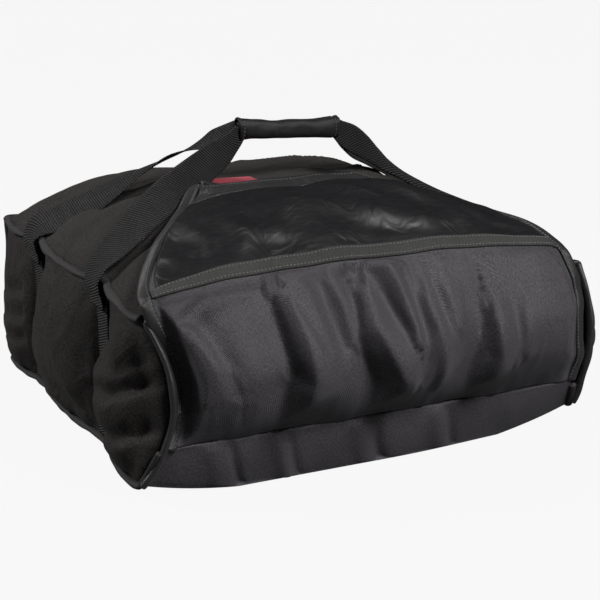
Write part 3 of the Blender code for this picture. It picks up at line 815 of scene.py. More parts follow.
def rear_panel():
    a, c = grid(stations(-1, 1, 2 * HALF_WIDTH), stations(-1, 1, 0.18))
    x = a * HALF_WIDTH
    back = np.full(a.shape, HALF_DEPTH)
    rim = lerp(RIM_HEIGHT, rim_line(x, back), np.abs(a) ** 6)
    z = lerp(floor_line(x, back), rim, (c + 1) / 2)
    bulge = REAR_BULGE * pillow(a, 3) * pillow(c, 3)
    points = np.stack([a * (HALF_WIDTH - GAP), HALF_DEPTH + bulge, z], -1)
    skin = Skin(a[:, 0], c[0], points, (0, 1, 0))
    edge_x = (1 - np.abs(a)) * HALF_WIDTH
    edge_z = (1 - np.abs(c)) * PANEL_HALF_HEIGHT
    free = 1 - ease(1 - np.minimum(edge_x, edge_z) / 0.010)
    height = 0.0012 * seam_puckers(edge_z, x, 61, 0.028, 0.02)
    height += 0.0022 * ripples(x, z, 0.13, 62, 2.4)
    skin.push(height * free)
    panel("rear", skin)


SILL_FOLDS = (
    # across, height, width
    (-186, 2, 10), (-164, -3.8, 5.5), (-112, 3, 8), (-98, -2.6, 5), (-20, 3, 10), (0, -4, 7),
    (75, 2, 9), (92, -2.4, 6), (170, 1.2, 12),
)
SILL_SLANT = 0.02


def base_panel():
    """The base, and its sill up to the flap's seam. Rows run from the rear seam, -1, to the flap's, 2."""
    rows = np.hstack([stations(-1, 1, 0.46)[:-1], stations(1, 2, 0.06)])
    a, r = grid(stations(-1, 1, 2 * HALF_WIDTH), rows)
    belly = np.minimum(1, 1.25 * pillow(a, 3.5))
    on_floor = r <= 1
    y = -np.minimum(r, 1) * HALF_DEPTH
    sunk = belly * ease((r + 1) / 0.35)
    up = np.clip(r - 1, 0, 1)
    turn = up * np.pi / 2
    x = a * np.where(on_floor, rim_half(y), lerp(HALF_WIDTH, SILL_HALF, up))
    seam = floor_line(x, y)
    sill_reach = HINGE.y + HALF_DEPTH
    tucked = sill_reach * np.sin(turn) + SILL_TUCK * bell(up) * (1 - up)
    reach = -lerp(sill_reach * up, tucked, belly)
    forward = lerp(0.009, -0.004, ease((x - 0.02) / 0.22)) * belly
    forward = forward * ease((r - 0.55) / 0.45) * ease((1 - up) / 0.8)
    rise = lerp(lerp(seam, HINGE.z, up), HINGE.z * (1 - np.cos(turn)), belly)
    z = np.where(on_floor, seam * (1 - sunk), rise)
    wider = 0.006 * ease(-x / 0.1) * (1 - belly) * ease((r - 0.5) / 0.5) * (1 - up)
    points = np.stack([x - wider, y - np.where(on_floor, 0, reach) - forward, z], -1)
    skin = Skin(a[:, 0], r[0], points, (0, -0.4, -1))
    edge_x = (1 - np.abs(a)) * HALF_WIDTH
    free = ease(edge_x / 0.02) * ease(up / 0.25) * ease((1 - up) / 0.12)
    height = sill_folds(x, up) + 0.0006 * ripples(x, up * 0.05, 0.06, 71, 1.6)
    skin.push(height * free)
    panel("base", skin, FLAP_EDGE, outer_cloth)
    return skin


def sill_folds(x, up):
    """Short folds that run up the sill on a slant."""
    height = np.zeros(x.shape)
    for across, tall, width in SILL_FOLDS:
        height += tall * MM * spot(x - across * MM - (0.5 - up) * SILL_SLANT, width * MM)
    return height


# Flap
FLAP_LEFT = (
    # share along the flap (1 is the fold), half width on the left
    (0, 243), (0.10, 238), (0.25, 234), (0.45, 234), (0.62, 240), (0.76, 250), (0.88, 259),
    (1.0, 262), (1.1, 259), (1.2, 252), (1.3, 243), (1.4, 231), (1.5, 217), (1.6, 201),
    (1.7, 184), (1.8, 167), (1.9, 149), (2.0, 131),
)
FLAP_RIGHT = (
    (0, 248), (0.13, 252), (0.27, 249), (0.45, 247), (0.64, 249), (0.79, 244), (0.90, 237),
    (1.0, 235), (1.1, 235), (1.2, 230), (1.3, 220), (1.4, 208), (1.5, 196), (1.6, 184),
    (1.7, 172), (1.8, 159), (1.9, 146), (2.0, 134),
)
FLAP_RIGHT_HEIGHT = (
    # share along the flap, height of its right edge
    (1.0, 205), (1.1, 216), (1.2, 223.5), (1.3, 229), (1.4, 233.5), (1.5, 236.5), (1.6, 239),
    (1.7, 239), (1.8, 241), (1.9, 245), (2.0, 250),
)
FLAP_FOLDS = (
    # from the top down; places are across and the share of the front's height
    (((-133, 0.86), (-126, 0.62), (-121, 0.46), (-127, 0.3), (-130, 0.06)), 30, 6, -10),
    (((-116, 0.86), (-108, 0.62), (-103, 0.42), (-110, 0.2), (-119, 0.05)), 8, 30, 12),
    (((-120, 0.96), (-105, 0.8), (-88, 0.6)), 7, 9, -3.5),
    (((-77, 0.9), (-68, 0.7), (-62, 0.58)), 16, 6, -4.5),
    (((-65, 0.94), (-54, 0.78), (-50, 0.62)), 6, 14, 6),
    (((-44, 0.82), (-48, 0.64), (-42, 0.52), (-26, 0.32), (-26, 0.1)), 30, 6, -10),
    (((-28, 0.84), (-29, 0.66), (-14, 0.48), (1, 0.3), (-4, 0.14), (-18, 0.05)), 9, 30, 14),
    (((-40, 1.04), (-26, 0.95), (-10, 0.82), (4, 0.62)), 20, 6, -8),
    (((-22, 1.04), (-2, 0.93), (8, 0.78), (16, 0.56)), 6, 18, 11),
    (((23, 0.8), (27, 0.62), (25, 0.3)), 14, 6, -6),
    (((37, 0.78), (45, 0.52), (49, 0.25)), 7, 18, 9),
    (((51, 0.96), (53, 0.72), (60, 0.46)), 9, 6, -2.5),
    (((60, 0.88), (69, 0.62)), 7, 14, 4.5),
    (((101, 0.66), (94, 0.48), (88, 0.22), (91, 0.06)), 34, 7, -8.5),
    (((112, 0.66), (115, 0.4), (109, 0.18), (104, 0.05)), 8, 28, 13),
    (((141, 0.68), (138, 0.4)), 18, 7, -3.5),
    (((151, 0.66), (149, 0.4)), 7, 18, 5),
    (((-245, 0.88), (-226, 0.79), (-212, 0.68), (-203, 0.55), (-194, 0.36)), 14, 9, 3.5),
    (((-233, 0.9), (-211, 0.82), (-198, 0.7), (-188, 0.55), (-180, 0.38)), 7, 14, -4.5),
    (((-160, 0.97), (-200, 0.93), (-238, 0.8)), 7, 14, -6.5),
    (((-170, 0.22), (-168, 0.04)), 6, 9, -5),
    (((195, 0.8), (200, 0.5), (195, 0.2)), 40, 30, 4),
)
TOP_FOLDS = (
    # the same on the flap's top part, whose shares run from 1 at the fold to 2 at its end
    (((-20, 1.7), (30, 1.48), (75, 1.3)), 16, 7, 3),
    (((20, 1.74), (90, 1.56), (150, 1.36)), 18, 8, 3.2),
    (((70, 1.78), (130, 1.6), (185, 1.44)), 16, 8, 2.6),
    (((-195, 1.4), (-180, 1.28), (-186, 1.18)), 8, 12, -3),
    (((-168, 1.45), (-155, 1.3), (-160, 1.16)), 8, 12, -3),
    (((-213, 1.3), (-204, 1.2), (-208, 1.12)), 8, 8, 2.6),
    (((-142, 1.4), (-132, 1.28), (-138, 1.18)), 8, 10, 2.6),
    (((-60, 1.5), (-85, 1.34), (-100, 1.2)), 12, 8, 2.4),
    (((-80, 1.8), (-20, 1.66), (10, 1.56)), 10, 7, 2),
    (((90, 1.44), (120, 1.3), (125, 1.2)), 12, 8, 2.2),
    (((-120, 1.66), (-130, 1.5), (-128, 1.4)), 12, 9, 2),
)


def along_table(rows, share):
    """A smooth curve through a table of (share, value)."""
    table = np.asarray(rows)
    fine = np.linspace(table[0, 0], table[-1, 0], 400)
    value = np.interp(fine, table[:, 0], table[:, 1])
    kernel = np.hanning(31)
    kernel /= kernel.sum()
    padded = np.pad(value, 15, mode="reflect", reflect_type="odd")
    return np.interp(share, fine, np.convolve(padded, kernel, mode="valid"))


def flap_across(a, v):
    return a * MM * np.where(a < 0, along_table(FLAP_LEFT, v), along_table(FLAP_RIGHT, v))


def top_fullness(t):
    """How full the flap's top part is along its length: it thins out before its hemmed end."""
    return np.where(t < 0.5, pillow(2 * t - 1, 4), 1 - ease((t - 0.46) / 0.40))


def flap_skin():
    """One skin for the whole flap: its front over shares 0 to 1, its top part over shares 1 to 2."""
    rows = np.hstack([stations(0, 1, 0.185)[:-1], stations(1, 2, 0.200)])
    a, v = grid(stations(-1, 1, 2 * FOLD_HALF), rows)
    s = np.clip(v, 0, 1)
    t = np.clip(v - 1, 0, 1)
    x = flap_across(a, v)
    right = ease((a + 1) / 2)
    edge_reach = lerp(-0.006, FLAP_EDGE_REACH, right)
    inset = (1 - np.abs(a)) * FOLD_HALF
    broad = ease(inset / 0.022 - 0.45) * 0.42 + 0.58 * pillow(a, 4.6)
    steep = ease(inset / 0.013 - 0.85) * 0.62 + 0.38 * pillow(a, 4.6)
    body = lerp(steep, broad, right)
    reach = (edge_reach + (FLAP_EDGE_REACH + FLAP_BULGE - edge_reach) * body) * bell(s**0.94)
    front = np.stack([x, lerp(HINGE.y, FOLD.y, s) - reach, lerp(HINGE.z, FOLD.z, s)], -1)
    y = lerp(FOLD.y, FLAP_END_Y, t)
    lift = lerp(FLAP_LIFT, FOLD.z - FLAP_EDGE - RIM_HEIGHT, (1 - t) ** 2)
    puff = lerp(FLAP_EDGE, FLAP_FULL, pillow(a, 4) * top_fullness(t))
    lift = lift + FLAP_END_LIFT * ease((t - 0.84) / 0.16) * pillow(a, 6)
    ground = top_height(x, np.maximum(y, -HALF_DEPTH), 0.35)
    top = np.stack([x, y, ground + lift + puff], -1)
    start = np.abs(a[:, 0] - 0.42).argmin()
    across_right = np.clip((a - a[start, 0]) / (1 - a[start, 0]), 0, 1)
    straight = lerp(top[start, :, 2][None], MM * along_table(FLAP_RIGHT_HEIGHT, v), across_right)
    top[..., 2] = lerp(top[..., 2], straight, ease(t / 0.2) * (across_right > 0))
    points = np.where((v <= 1)[..., None], front, top)
    near_fold = spot(v - 1, 0.18) * pillow(a, 2.6)
    points = points + near_fold[..., None] * FOLD_LIFT * np.array([0, -0.10, 1.0])
    for _ in range(90):
        smooth = points.copy()
        smooth[:, 1:-1] = (points[:, :-2] + points[:, 2:] + 2 * points[:, 1:-1]) / 4
        weight = spot(v - 1, 0.22)[..., None]
        points = points + (smooth - points) * weight
    skin = Skin(a[:, 0], v[0], points, (0, -0.7, 0.7))
    edge = (1 - np.abs(a)) * FOLD_HALF
    inside = ease((edge - BINDING_WIDTH * 0.8) / 0.018)
    tall = v * FRONT_HEIGHT
    height = FOLD_DEPTH_SHARE * ridges(x, tall, FLAP_FOLDS, FRONT_HEIGHT)
    height *= inside * ease((1.01 - v) / 0.08) * ease((v - 0.03) / 0.34)
    height += 0.0012 * seam_puckers(np.maximum(edge - BINDING_WIDTH, 0), tall, 81, 0.034, 0.016) * (v < 1)
    height += 0.0009 * ripples(x, v * 0.18, 0.070, 83, 2.4) * inside
    height += 0.0007 * creased(ripples(x, tall, 0.060, 87, 2.6), 0.5) * inside * bell(s) * (v < 1)
    height -= 0.0022 * spot(edge - BINDING_WIDTH - 0.002, 0.0035) * ease(v / 0.07)
    height += 0.0006 * seam_puckers(s * 0.175, x, 84, 0.022, 0.012) * ease(s / 0.03)
    on_top = ease((v - 1.12) / 0.1) * ease((1.96 - v) / 0.08)
    height += 0.0012 * ripples(x + 0.1 * t, t * 0.30, 0.080, 85, 1.0) * inside * on_top
    height += ridges(x, tall, TOP_FOLDS, FRONT_HEIGHT) * inside * on_top
    ear = ease((v - 1.80) / 0.16) * ease((-a - 0.75) / 0.2)
    skin.push(height)
    skin.points = skin.points + (ear * FLAP_EAR)[..., None] * np.array([0, 0.4, 1.0])
    skin.settle()
    return skin


def flap_thickness(skin):
    u, v = grid(skin.us, skin.vs)
    t = np.clip(v - 1, 0, 1)
    part = np.where(v <= 1, pillow(2 * v - 1, 4), top_fullness(t))
    return lerp(FLAP_EDGE, FLAP_FULL, pillow(u, 4) * np.maximum(part, 0.25 * spot(v - 1, 0.3)))


def flap_cover(skin):
    """The padded cloth of the whole flap, from its seam at the sill to its end, and its lining."""
    inner = inner_face(skin, flap_thickness(skin))
    cover = closed("flap_cover", skin.points, inner.points, skin.cloth, outer_cloth)
    nodes = [part + layer for part in ("flap_front", "flap_top") for layer in ("_shell", "_pad")]
    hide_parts(*nodes)
    nodes = ["flap_front_lining", "flap_top_lining"]
    sheet, far = lining("flap_inner_cloth", inner, skin.cloth, None, nodes)
    for piece in (cover, sheet):
        bend_at_fold(piece)
    return Skin(skin.us, skin.vs, far, skin.outward)


def bend_at_fold(piece):
    """Bakes the piece's transform into its points."""
    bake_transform(piece)


def flap_edge_path():
    """Shares along the flap's free edge: up its left, round its end, and down its right to the hinge."""
    corner = 0.05
    wide = corner * 1.4
    angles = np.linspace(0, math.pi / 2, 9)
    left = [(-1, v) for v in np.linspace(0, 2, 150) if v < 2 - corner]
    left += [(-1 + wide * (1 - math.cos(k)), 2 - corner * (1 - math.sin(k))) for k in angles]
    across = [(u, 2) for u in np.linspace(-1 + wide, 1 - wide, 90)[1:-1]]
    right = [(-u, v) for u, v in reversed(left)]
    return np.array(left + across + right)


def flap_binding(skin):
    """Tape folded round the flap's free edge."""
    shares = flap_edge_path()
    thickness = FLAP_EDGE + 2 * BINDING_RISE
    edge = skin.at(shares[:, 0], shares[:, 1], -FLAP_EDGE / 2)
    normal = skin.sample(shares[:, 0], shares[:, 1], skin.normals)
    along = directions(edge)
    across = np.cross(along, normal)
    across /= np.linalg.norm(across, axis=1, keepdims=True)
    inward = np.sign((across * (np.array([0, -0.15, 0.2]) - edge)).sum(axis=1))
    across *= np.where(np.abs(inward) > 0, inward, 1)[:, None]
    travel = travelled(edge)
    wave = 0.0003 * ripples(travel, travel * 0, 0.060, 91)
    edge = edge + normal * wave[:, None]
    profile = rounded(BINDING_WIDTH + 0.001, thickness + 0.0006, 16, 2.4)
    profile[:, 0] += BINDING_WIDTH / 2 - 0.001
    tape = sweep("flap_binding", edge, across, normal, profile, binding_cloth)
    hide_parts("flap_front_binding_left", "flap_front_binding_right", "flap_top_binding")
    bend_at_fold(tape)
    row = edge + across * (BINDING_WIDTH - 0.0025) + normal * (thickness / 2 - 0.0002)
    thread_row = stitches("flap_binding_stitches", row, normal, grey_thread)
    bend_at_fold(thread_row)


def flap_rows(y):
    """Shares along the flap's top part for places in depth."""
    return 1 + (np.asarray(y) - FOLD.y) / (FLAP_END_Y - FOLD.y)


def window(skin):
    """The clear ticket window over the flap's top part."""
    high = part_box("ticket_window")[1]
    tape_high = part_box("window_lower_tape")[1]
    rows = stations(*flap_rows([tape_high.y - 0.014, high.y]), 0.13)
    us = stations(-0.93, 0.93, 0.45)
    u, v = grid(us, rows)
    rise = WINDOW_RISE + 0.0002 * ripples(u * 0.25, v * 0.17, 0.05, 101)
    upper = rise + WINDOW_THICKNESS
    vinyl = patch("window_sheet", skin, us, rows, rise, upper, window_vinyl)
    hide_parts("ticket_window")
    skin.at(u, v, rise)
    bend_at_fold(vinyl)


def stitched_row(name, skin, us, share, rise, colour, size=0.0011):
    """A row of stitches across the flap, at one share of its length."""
    v = np.full(us.shape, share)
    normal = skin.sample(us, v, skin.normals)
    bend_at_fold(stitches(name, skin.at(us, v, rise), normal, colour, size=size))


def window_tape(skin):
    """The tape along the window's lower edge, with two rows of stitches."""
    low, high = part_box("window_lower_tape")
    ends = flap_rows([low.y + 0.001, high.y - 0.011])
    us = stations(-0.955, 0.955, 0.48, 0.004)
    rows = stations(*ends, 0.03)
    tape = patch("window_tape", skin, us, rows, STRIP_LOW, TAPE_TOP, tape_cloth)
    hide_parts("window_lower_tape")
    bend_at_fold(tape)
    for word, share in (("low", 0.16), ("high", 0.84)):
        name = "window_tape_stitches_" + word
        stitched_row(name, skin, us, lerp(*ends, share), TAPE_STITCH_RISE, grey_thread, 0.0014)


def window_hem(skin):
    """The puckered hem along the window's upper edge."""
    low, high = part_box("window_hem")
    us = stations(-0.90, 0.90, 0.30)
    rows = stations(*flap_rows([low.y - 0.003, high.y + 0.004]), 0.03, 0.002)
    u, v = grid(us, rows)
    share = (v - rows[0]) / (rows[-1] - rows[0])
    puff = 0.0020 + 0.0012 * bell(share) + 0.0006 * ripples(u * 0.25, v * 0.04, 0.034, 103) * bell(share)
    hem = patch("window_hem_strip", skin, us, rows, WINDOW_RISE, puff, binding_cloth)
    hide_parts("window_hem")
    bend_at_fold(hem)
    for word, share, colour in (("low", 0.15, dark_thread), ("high", 0.85, grey_thread)):
        row = lerp(rows[0], rows[-1], share)
        stitched_row("window_hem_stitches_" + word, skin, us, row, HEM_STITCH_RISE, colour)


def closure(top, underside):
    """The hook strip under the flap's end and the loop strip on the top below it."""
    low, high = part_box("closure_loop_strip")
    us = stations(low.x / HALF_WIDTH, high.x / HALF_WIDTH, 0.15, 0.006)
    vs = stations(low.y / HALF_DEPTH, high.y / HALF_DEPTH, 0.026, 0.006)
    loop = patch("loop_strip", top, us, vs, STRIP_LOW, STRIP_TOP, strip_nap, "bag_body")
    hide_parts("closure_loop_strip")
    low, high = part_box("closure_hook_strip")
    vs = stations(*flap_rows([low.y, high.y]), 0.026, 0.002)
    us = stations(low.x / FLAP_END_HALF, high.x / FLAP_END_HALF, 0.15, 0.002)
    hook = patch("hook_strip", underside, us, vs, -0.0014, -0.0003, strip_nap, "flap_top")
    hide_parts("closure_hook_strip")


def bare_label(top):
    low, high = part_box("label")
    us = stations(low.x / HALF_WIDTH, high.x / HALF_WIDTH, 0.052, 0.002)
    vs = stations(low.y / HALF_DEPTH, high.y / HALF_DEPTH, 0.036, 0.002)
    curl = LABEL_CURL * ease((vs - vs[0]) / (vs[-1] - vs[0]))[None] * np.ones((len(us), 1))
    under = STRIP_LOW + curl
    over = STRIP_TOP + curl
    made = patch("bare_label", top, us, vs, under, over, label_cloth, "bag_body")
    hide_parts("label")


# Webbing and grip
def side_webs():
    """Webbing sewn flat down the valleys; the pillows swell over its edges."""
    for word, side in (("left", -1), ("right", 1)):
        for end_word, end in (("front", -1), ("rear", 1)):
            low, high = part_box("side_web_" + end_word + "_" + word)
            y, z = grid(stations(low.y, high.y, WEB_WIDTH), stations(low.z, high.z + 0.006, 0.17))
            near = np.stack([np.full(y.shape, side * (HALF_WIDTH + 0.0006)), y, z], -1)
            far = near + np.array([side * WEB_THICKNESS, 0, 0])
            cloth = np.stack([y - end * STRAP_OFFSET, z], -1)
            name = "sewn_web_" + end_word + "_" + word
            web = closed(name, far, near, cloth, webbing, "bag_body")
            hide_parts("side_web_" + end_word + "_" + word)


def ribbon(name, rows, steps, material, node):
    """A strap through rows of its middle, its way across, width, thickness, curl and rib pitch."""
    path = smooth_line(rows, steps)
    centre = path[:, :3]
    along = directions(centre)
    across = square_to(along, path[:, 3:6])
    normal = np.cross(along, across)
    width, thickness, curl, pitch = path[:, 6:10].T
    u = np.linspace(-1, 1, 13)
    ribs = np.diff(travelled(centre)) * WEB_RIB / pitch[1:]
    travel = np.concatenate([[0.0], np.cumsum(ribs)])
    middle_line = centre[:, None] + across[:, None] * (u * width[:, None] / 2)[..., None]
    middle_line = middle_line + normal[:, None] * (curl[:, None] * u * u)[..., None]
    half = (thickness[:, None] / 2 * (1 - 0.45 * u**8))[..., None]
    outer = middle_line + normal[:, None] * half
    inner = middle_line - normal[:, None] * half
    cloth = np.stack(np.broadcast_arrays(u * WEB_WIDTH / 2, travel[:, None]), -1)
    made = closed(name, outer, inner, cloth, material)
    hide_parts(node)
    return made


STRAP_FOOT = (
    # the two rows sewn onto the side: out from the middle, height, thickness
    (259.8, 170.5, 3.4),
    (261.2, 180, 2.8),
)
STRAP_ROWS = {
    # out from the middle, depth, height; way across; width, thickness, curl, and a rib pitch where it differs
    "front_left": (
        (265, -109, 197, 0, 1, 0, 38, 1.8, 1),
        (258, -108, 211, 0, 1, 0.15, 38, 1.8, 1),
        (240, -103, 226, 0, 1, 0.4, 38, 1.8, 0),
        (216.4, -93.5, 242, 0, 0.9, 0.6, 38, 1.8, 0),
        (189.2, -82.2, 259, 0, 0.8, 0.75, 38, 1.8, 0),
        (161.6, -70.8, 274, 0, 0.7, 0.85, 38, 1.8, 0),
        (133.4, -59.1, 286.5, 0, 0.55, 0.92, 37, 1.8, 0),
        (104.5, -47.2, 299, 0, 0.35, 1, 35, 1.8, 0),
        (82.4, -38, 309, 0, 0.15, 1, 30, 2.2, 0),
        (70.4, -33.1, 317, 0, 0.05, 1, 24, 3.2, 0),
        (60, -30, 327, 0, 0.02, 1, 18, 4.4, 0),
    ),
    "rear_left": (
        (265, 109, 197, 0, 1, 0, 38, 1.8, 1),
        (258, 106.5, 209, 0, 1, 0.4, 38, 1.8, 1),
        (232.3, 93.7, 221, 0, 0.9, 0.6, 38, 1.8, 0),
        (200, 71, 241, 0.2, 0.8, 0.6, 38, 1.8, 0),
        (168.3, 48.4, 264, 0.45, 0.8, 0.35, 38, 1.8, 1),
        (144.2, 31.4, 282.3, 0.55, 0.8, 0.05, 38, 1.8, 1),
        (120, 14, 298.5, 0.55, 0.8, -0.15, 36, 1.8, 1),
        (95, -3.5, 311, 0.5, 0.6, 0.3, 29, 2.2, 1),
        (78, -15.5, 320, 0.2, 0.3, 0.9, 23, 3, 0),
        (60, -26, 331, 0, 0.05, 1, 18, 4.4, 0),
    ),
    "front_right": (
        (265, -109, 197, 0, 1, 0, 38, 1.8, 1, 3),
        (258, -108, 211, 0, 1, 0.1, 36, 1.8, 1, 3.6),
        (235, -100, 221, 0, 1, 0.2, 30, 2.4, 2, 4),
        (201, -87, 234, 0, 1, 0.3, 24, 3, 3, 4.3),
        (174, -76, 245.5, 0, 1, 0.4, 21, 3.6, 3, 4.3),
        (152, -67, 257, 0, 1, 0.5, 20, 3.6, 3, 4.3),
        (130.2, -58, 270.5, 0, 1, 0.6, 19.5, 3.6, 3, 4.3),
        (114, -51, 281.5, 0, 0.7, 0.9, 19, 3.6, 3, 4),
        (102, -46, 290.5, 0, 0.3, 1, 20, 3, 2, 3),
        (87, -40, 302.5, 0, 0.05, 1, 27, 2.2, 1, 2.7),
        (74, -34.5, 313, 0, 0.03, 1, 29, 2.2, 0, 2.7),
        (60, -30, 323, 0, 0.02, 1, 20, 4.4, 0, 2.7),
    ),
    "rear_right": (
        (265, 109, 197, 0, 1, 0, 38, 1.8, 1, 3),
        (258, 107, 211, 0, 1, 0.1, 37, 1.8, 1, 3),
        (215, 83, 229, 0.2, 1, 0.2, 34, 2, 2, 3.2),
        (172, 53, 258, 0.4, 1, 0.3, 30, 2.6, 3, 3.6),
        (130, 22, 280, 0.4, 0.8, 0.6, 28, 3, 3, 3.6),
        (96, -2, 297, 0.2, 0.5, 0.9, 29, 2.6, 2, 3),
        (76, -16, 312.5, 0.1, 0.2, 1, 30, 2.6, 0, 2.7),
        (60, -26, 324.5, 0, 0.02, 1, 18, 4.4, 0, 2.7),
    ),
}


def strap_rows(rows, side):
    """A strap's rows in metres, with the two by which it is sewn to the bag's side before them.

    Rows without a rib pitch get the webbing's own.
    """
    depth = rows[0][1]
    foot = [(out, depth, up, 0, 1, 0, WEB_WIDTH / MM, thick, 0) for out, up, thick in STRAP_FOOT]
    whole = [(*row, WEB_RIB / MM)[:10] for row in (*foot, *rows)]
    return np.array(whole) * (side * MM, MM, MM, 1, 1, 1, MM, MM, MM, MM)


def straps():
    for word, rows in STRAP_ROWS.items():
        side = -1 if "left" in word else 1
        made = ribbon("carry_strap_" + word, strap_rows(rows, side), 130, webbing, "strap_" + word)
        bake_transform(made)


def grip():
    """The padded sleeve and the two folded webs inside it."""
    half = (GRIP_HIGH.x - GRIP_LOW.x) / 2
    around = np.linspace(0, 2 * np.pi, 33)[:-1]
    along = np.linspace(-1, 1, 90)
    angle, share = grid(around, along)
    tall = lerp(SLEEVE_MIDDLE_HEIGHT, GRIP_HIGH.z - GRIP_LOW.z, np.abs(share) ** 3) / 2
    deep = (GRIP_HIGH.y - GRIP_LOW.y) / 2 * lerp(1, 0.92, np.abs(share) ** 4)
    seam = 1 - 0.10 * spot(np.abs(share) - 0.90, 0.018) - 0.10 * ease((np.abs(share) - 0.975) / 0.025)
    crumple = 1 + 0.035 * ripples(angle * 0.02, share * half, 0.035, 111)
    power = 2 / 2.4
    c, s = np.cos(angle), np.sin(angle)
    y = np.sign(s) * np.abs(s) ** power * deep * seam * crumple
    z = np.sign(c) * np.abs(c) ** power * tall * seam * crumple
    x = share * half
    sag = SLEEVE_SAG * (1 - share**2)
    lean = GRIP_LEAN * (1 - share) / 2
    outer = np.stack([x, GRIP.y + y, GRIP.z + z - sag + lean], -1)
    inner = np.stack([x, GRIP.y + y * 0.80, GRIP.z + z * 0.86 - sag + lean], -1)
    cloth = np.stack([angle * 0.011, x], -1)
    sleeve = closed("grip_cover", outer, inner, cloth, sleeve_cloth, "grip", ring=True)
    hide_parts("grip_sleeve")
    for end in (-1, 1):
        column = int(round((end * 0.90 + 1) / 2 * 89))
        ring = np.vstack([outer[:, column], outer[:1, column]])
        heart = ring[:-1].mean(axis=0)
        normal = (ring - heart) / np.linalg.norm(ring - heart, axis=1, keepdims=True)
        word = "left" if end < 0 else "right"
        stitches("grip_stitches_" + word, ring + normal * 0.0002, normal, grey_thread, "grip")
    for word in ("front", "rear"):
        low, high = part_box("grip_web_" + word)
        us = np.linspace(low.x, high.x, 40)
        vs = np.linspace(-1, 1, 7)
        x, v = grid(us, vs)
        z = GRIP.z + v * (high.z - low.z) / 2 + GRIP_LEAN * (half - x) / (2 * half)
        y = np.full(x.shape, (low.y + high.y) / 2)
        bulge = CORE_HALF_THICKNESS * (1 - 0.4 * v**6)
        cloth = np.stack([v * 0.009, x], -1)
        front = np.stack([x, y - bulge, z], -1)
        rear = np.stack([x, y + bulge, z], -1)
        web = closed("grip_core_" + word, front, rear, cloth, webbing, "grip")
        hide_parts("grip_web_" + word)


# Seam lips
def edge_roll(name, path, out, size, seed, node, material=lip_cloth):
    """A rolled seam lip along a path: out is the way it stands off the seam."""
    along = directions(path)
    across = square_to(along, out)
    normal = np.cross(along, across)
    travel = travelled(path)
    swing = LIP_WAVE * ripples(travel, travel * 0, 0.070, seed)
    fat = 1 + 0.07 * ripples(travel, travel * 0, 0.040, seed + 1)
    path = path + normal * swing[:, None]
    profile = rounded(1, 1, 14, 2.2)[None] * fat[:, None, None]
    profile = profile * np.array(size)
    profile[..., 0] += size[0] * 0.30
    made = sweep(name, path, across, normal, profile, material, "bag_body")
    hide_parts(node)


def joined(left, middle_run, right, steps):
    """One smooth path along three runs of a seam."""
    return smooth_line(np.vstack([left, middle_run, right])[::3], steps)


def out_and_down(path, corner, drop):
    """The way a lip stands off the rim or the floor: out at the sides and the rear, and down."""
    beside = np.sign(path[:, 0]) * ease((np.abs(path[:, 0]) - 0.235) / corner)
    behind = ease((path[:, 1] - 0.21) / 0.015)
    return np.stack([beside, behind, np.full(len(path), -drop)], -1)


def seam_lips(top, sides, base):
    """Rim, floor, rear corners and the edge of the mouth."""
    ys = np.linspace(-0.985, 0.985, 190)
    xs = np.linspace(-0.965, 0.965, 150)
    path = joined(top.at(-1.0, ys), top.at(xs, 1.0), top.at(1.0, ys[::-1]), 560)
    edge_roll("rim_lip", path, out_and_down(path, 0.015, 0.55), RIM_LIP, 121, "rim_piping")

    rs = np.hstack([np.linspace(1.90, 1.0, 26), np.linspace(0.985, -0.985, 190)])
    path = joined(base.at(-1.0, rs), base.at(xs, -1.0), base.at(1.0, rs[::-1]), 600)
    edge_roll("floor_lip", path, out_and_down(path, 0.012, 0.30), FLOOR_LIP, 131, "floor_piping")

    for word, side in (("left", -1), ("right", 1)):
        upper = float(rim_line(side * HALF_WIDTH, HALF_DEPTH)) - 0.002
        z = np.linspace(FLOOR_SEAM_HEIGHT + 0.004, upper, 70)
        path = np.stack([np.full(z.shape, side * HALF_WIDTH), np.full(z.shape, HALF_DEPTH), z], -1)
        out = np.broadcast_to([side, 1.0, 0], path.shape)
        node = "rear_corner_piping_" + word
        edge_roll("rear_corner_lip_" + word, path, out, CORNER_LIP, 141 + side, node)

    cs = np.linspace(-0.97, 0.985, 90)
    left, right = sides
    path = joined(left.at(-1.0, cs), top.at(xs, -1.0), right.at(-1.0, cs[::-1]), 420)
    upright = ease((np.abs(path[:, 0]) - 0.215) / 0.02)
    out = np.stack([np.sign(path[:, 0]) * 0.5 * upright, -np.ones(len(path)), 0.3 * (1 - upright)], -1)
    edge_roll("mouth_lip", path, out, MOUTH_LIP, 151, "mouth_binding", mouth_cloth)


def main_pieces():
    top = top_panel()
    sides = (side_panel("left", -1), side_panel("right", 1))
    rear_panel()
    base = base_panel()
    flap = flap_skin()
    underside = flap_cover(flap)
    flap_binding(flap)
    window(flap)
    window_tape(flap)
    window_hem(flap)
    closure(top, underside)
    bare_label(top)
    side_webs()
    straps()
    grip()
    seam_lips(top, sides, base)


# Camera, lamps and surroundings
def turn_to(thing, place, way):
    thing.location = place
    thing.rotation_mode = "QUATERNION"
    thing.rotation_quaternion = way.to_track_quat("-Z", "Y")


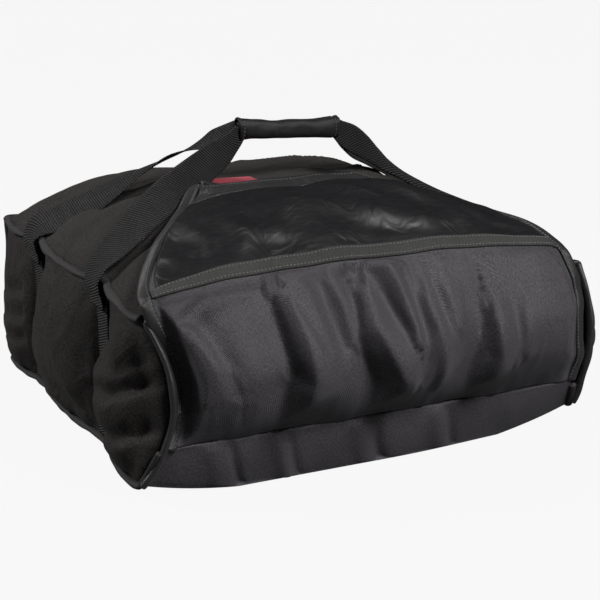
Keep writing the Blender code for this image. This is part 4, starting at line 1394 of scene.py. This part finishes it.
def photo_camera():
    """The photograph's camera."""
    a = math.radians(AZIMUTH)
    e = math.radians(ELEVATION)
    back = Vector((math.sin(a) * math.cos(e), -math.cos(a) * math.cos(e), math.sin(e)))
    data = bpy.data.cameras.new("camera")
    data.sensor_width = SENSOR
    data.lens = FOCAL_PIXELS / PHOTO_SIZE * SENSOR
    data.shift_x = (PHOTO_SIZE / 2 - PRINCIPAL_X) / PHOTO_SIZE
    data.shift_y = (PRINCIPAL_Y - PHOTO_SIZE / 2) / PHOTO_SIZE
    camera = add_object("camera", data)
    turn_to(camera, AIM + back * DISTANCE, -back)
    bpy.context.scene.camera = camera


def lamp(name, place, size, power):
    """A soft square lamp that shines on the bag."""
    light = bpy.data.lights.new(name, "AREA")
    light.shape = "SQUARE"
    light.size = size
    light.energy = power
    turn_to(add_object(name, light), Vector(place), LAMP_AIM - Vector(place))


def surroundings():
    """A world that looks white to the camera and lights the bag only a little."""
    world = bpy.data.worlds.new("world")
    bpy.context.scene.world = world
    world.use_nodes = True
    make = node_maker(world)
    nodes = world.node_tree.nodes
    ray = make("ShaderNodeLightPath").outputs
    seen = calc(make, "MAXIMUM", ray["Is Camera Ray"], ray["Is Transmission Ray"])
    strength = remap(make, seen, 0.0, 1.0, AMBIENT, 1.0)
    world.node_tree.links.new(strength, nodes["Background"].inputs["Strength"])
    nodes["Background"].inputs["Color"].default_value = (1, 1, 1, 1)


def pale_floor():
    """A plain floor that looks nearly white to the camera and keeps the bag's shadow."""
    mesh = bpy.data.meshes.new("floor")
    far = FLOOR_HALF
    mesh.from_pydata([(-far, -far, 0), (far, -far, 0), (far, far, 0), (-far, far, 0)], [], [(0, 1, 2, 3)])
    floor = add_object("floor", mesh)
    floor.location.z = -FLOOR_GAP
    material, surface, make, link = blank("floor", colour=(*[FLOOR_GREY] * 3, 1), rough=0.9)
    ray = make("ShaderNodeLightPath").outputs
    factor = calc(make, "MULTIPLY", ray["Is Camera Ray"], FLOOR_WHITE_SHARE)
    white = make("ShaderNodeEmission", {"Color": (1, 1, 1, 1), "Strength": 1.0})
    mix = make("ShaderNodeMixShader", {0: factor, 1: surface.outputs[0], 2: white.outputs[0]})
    link.new(mix.outputs[0], material.node_tree.nodes["Material Output"].inputs["Surface"])
    mesh.materials.append(material)


photo_camera()
lamp("key", KEY_PLACE, KEY_SIZE, KEY_WATTS)
lamp("left", LEFT_PLACE, LEFT_SIZE, LEFT_WATTS)
surroundings()
pale_floor()
main_pieces()
bpy.context.scene.view_settings.view_transform = "Standard"
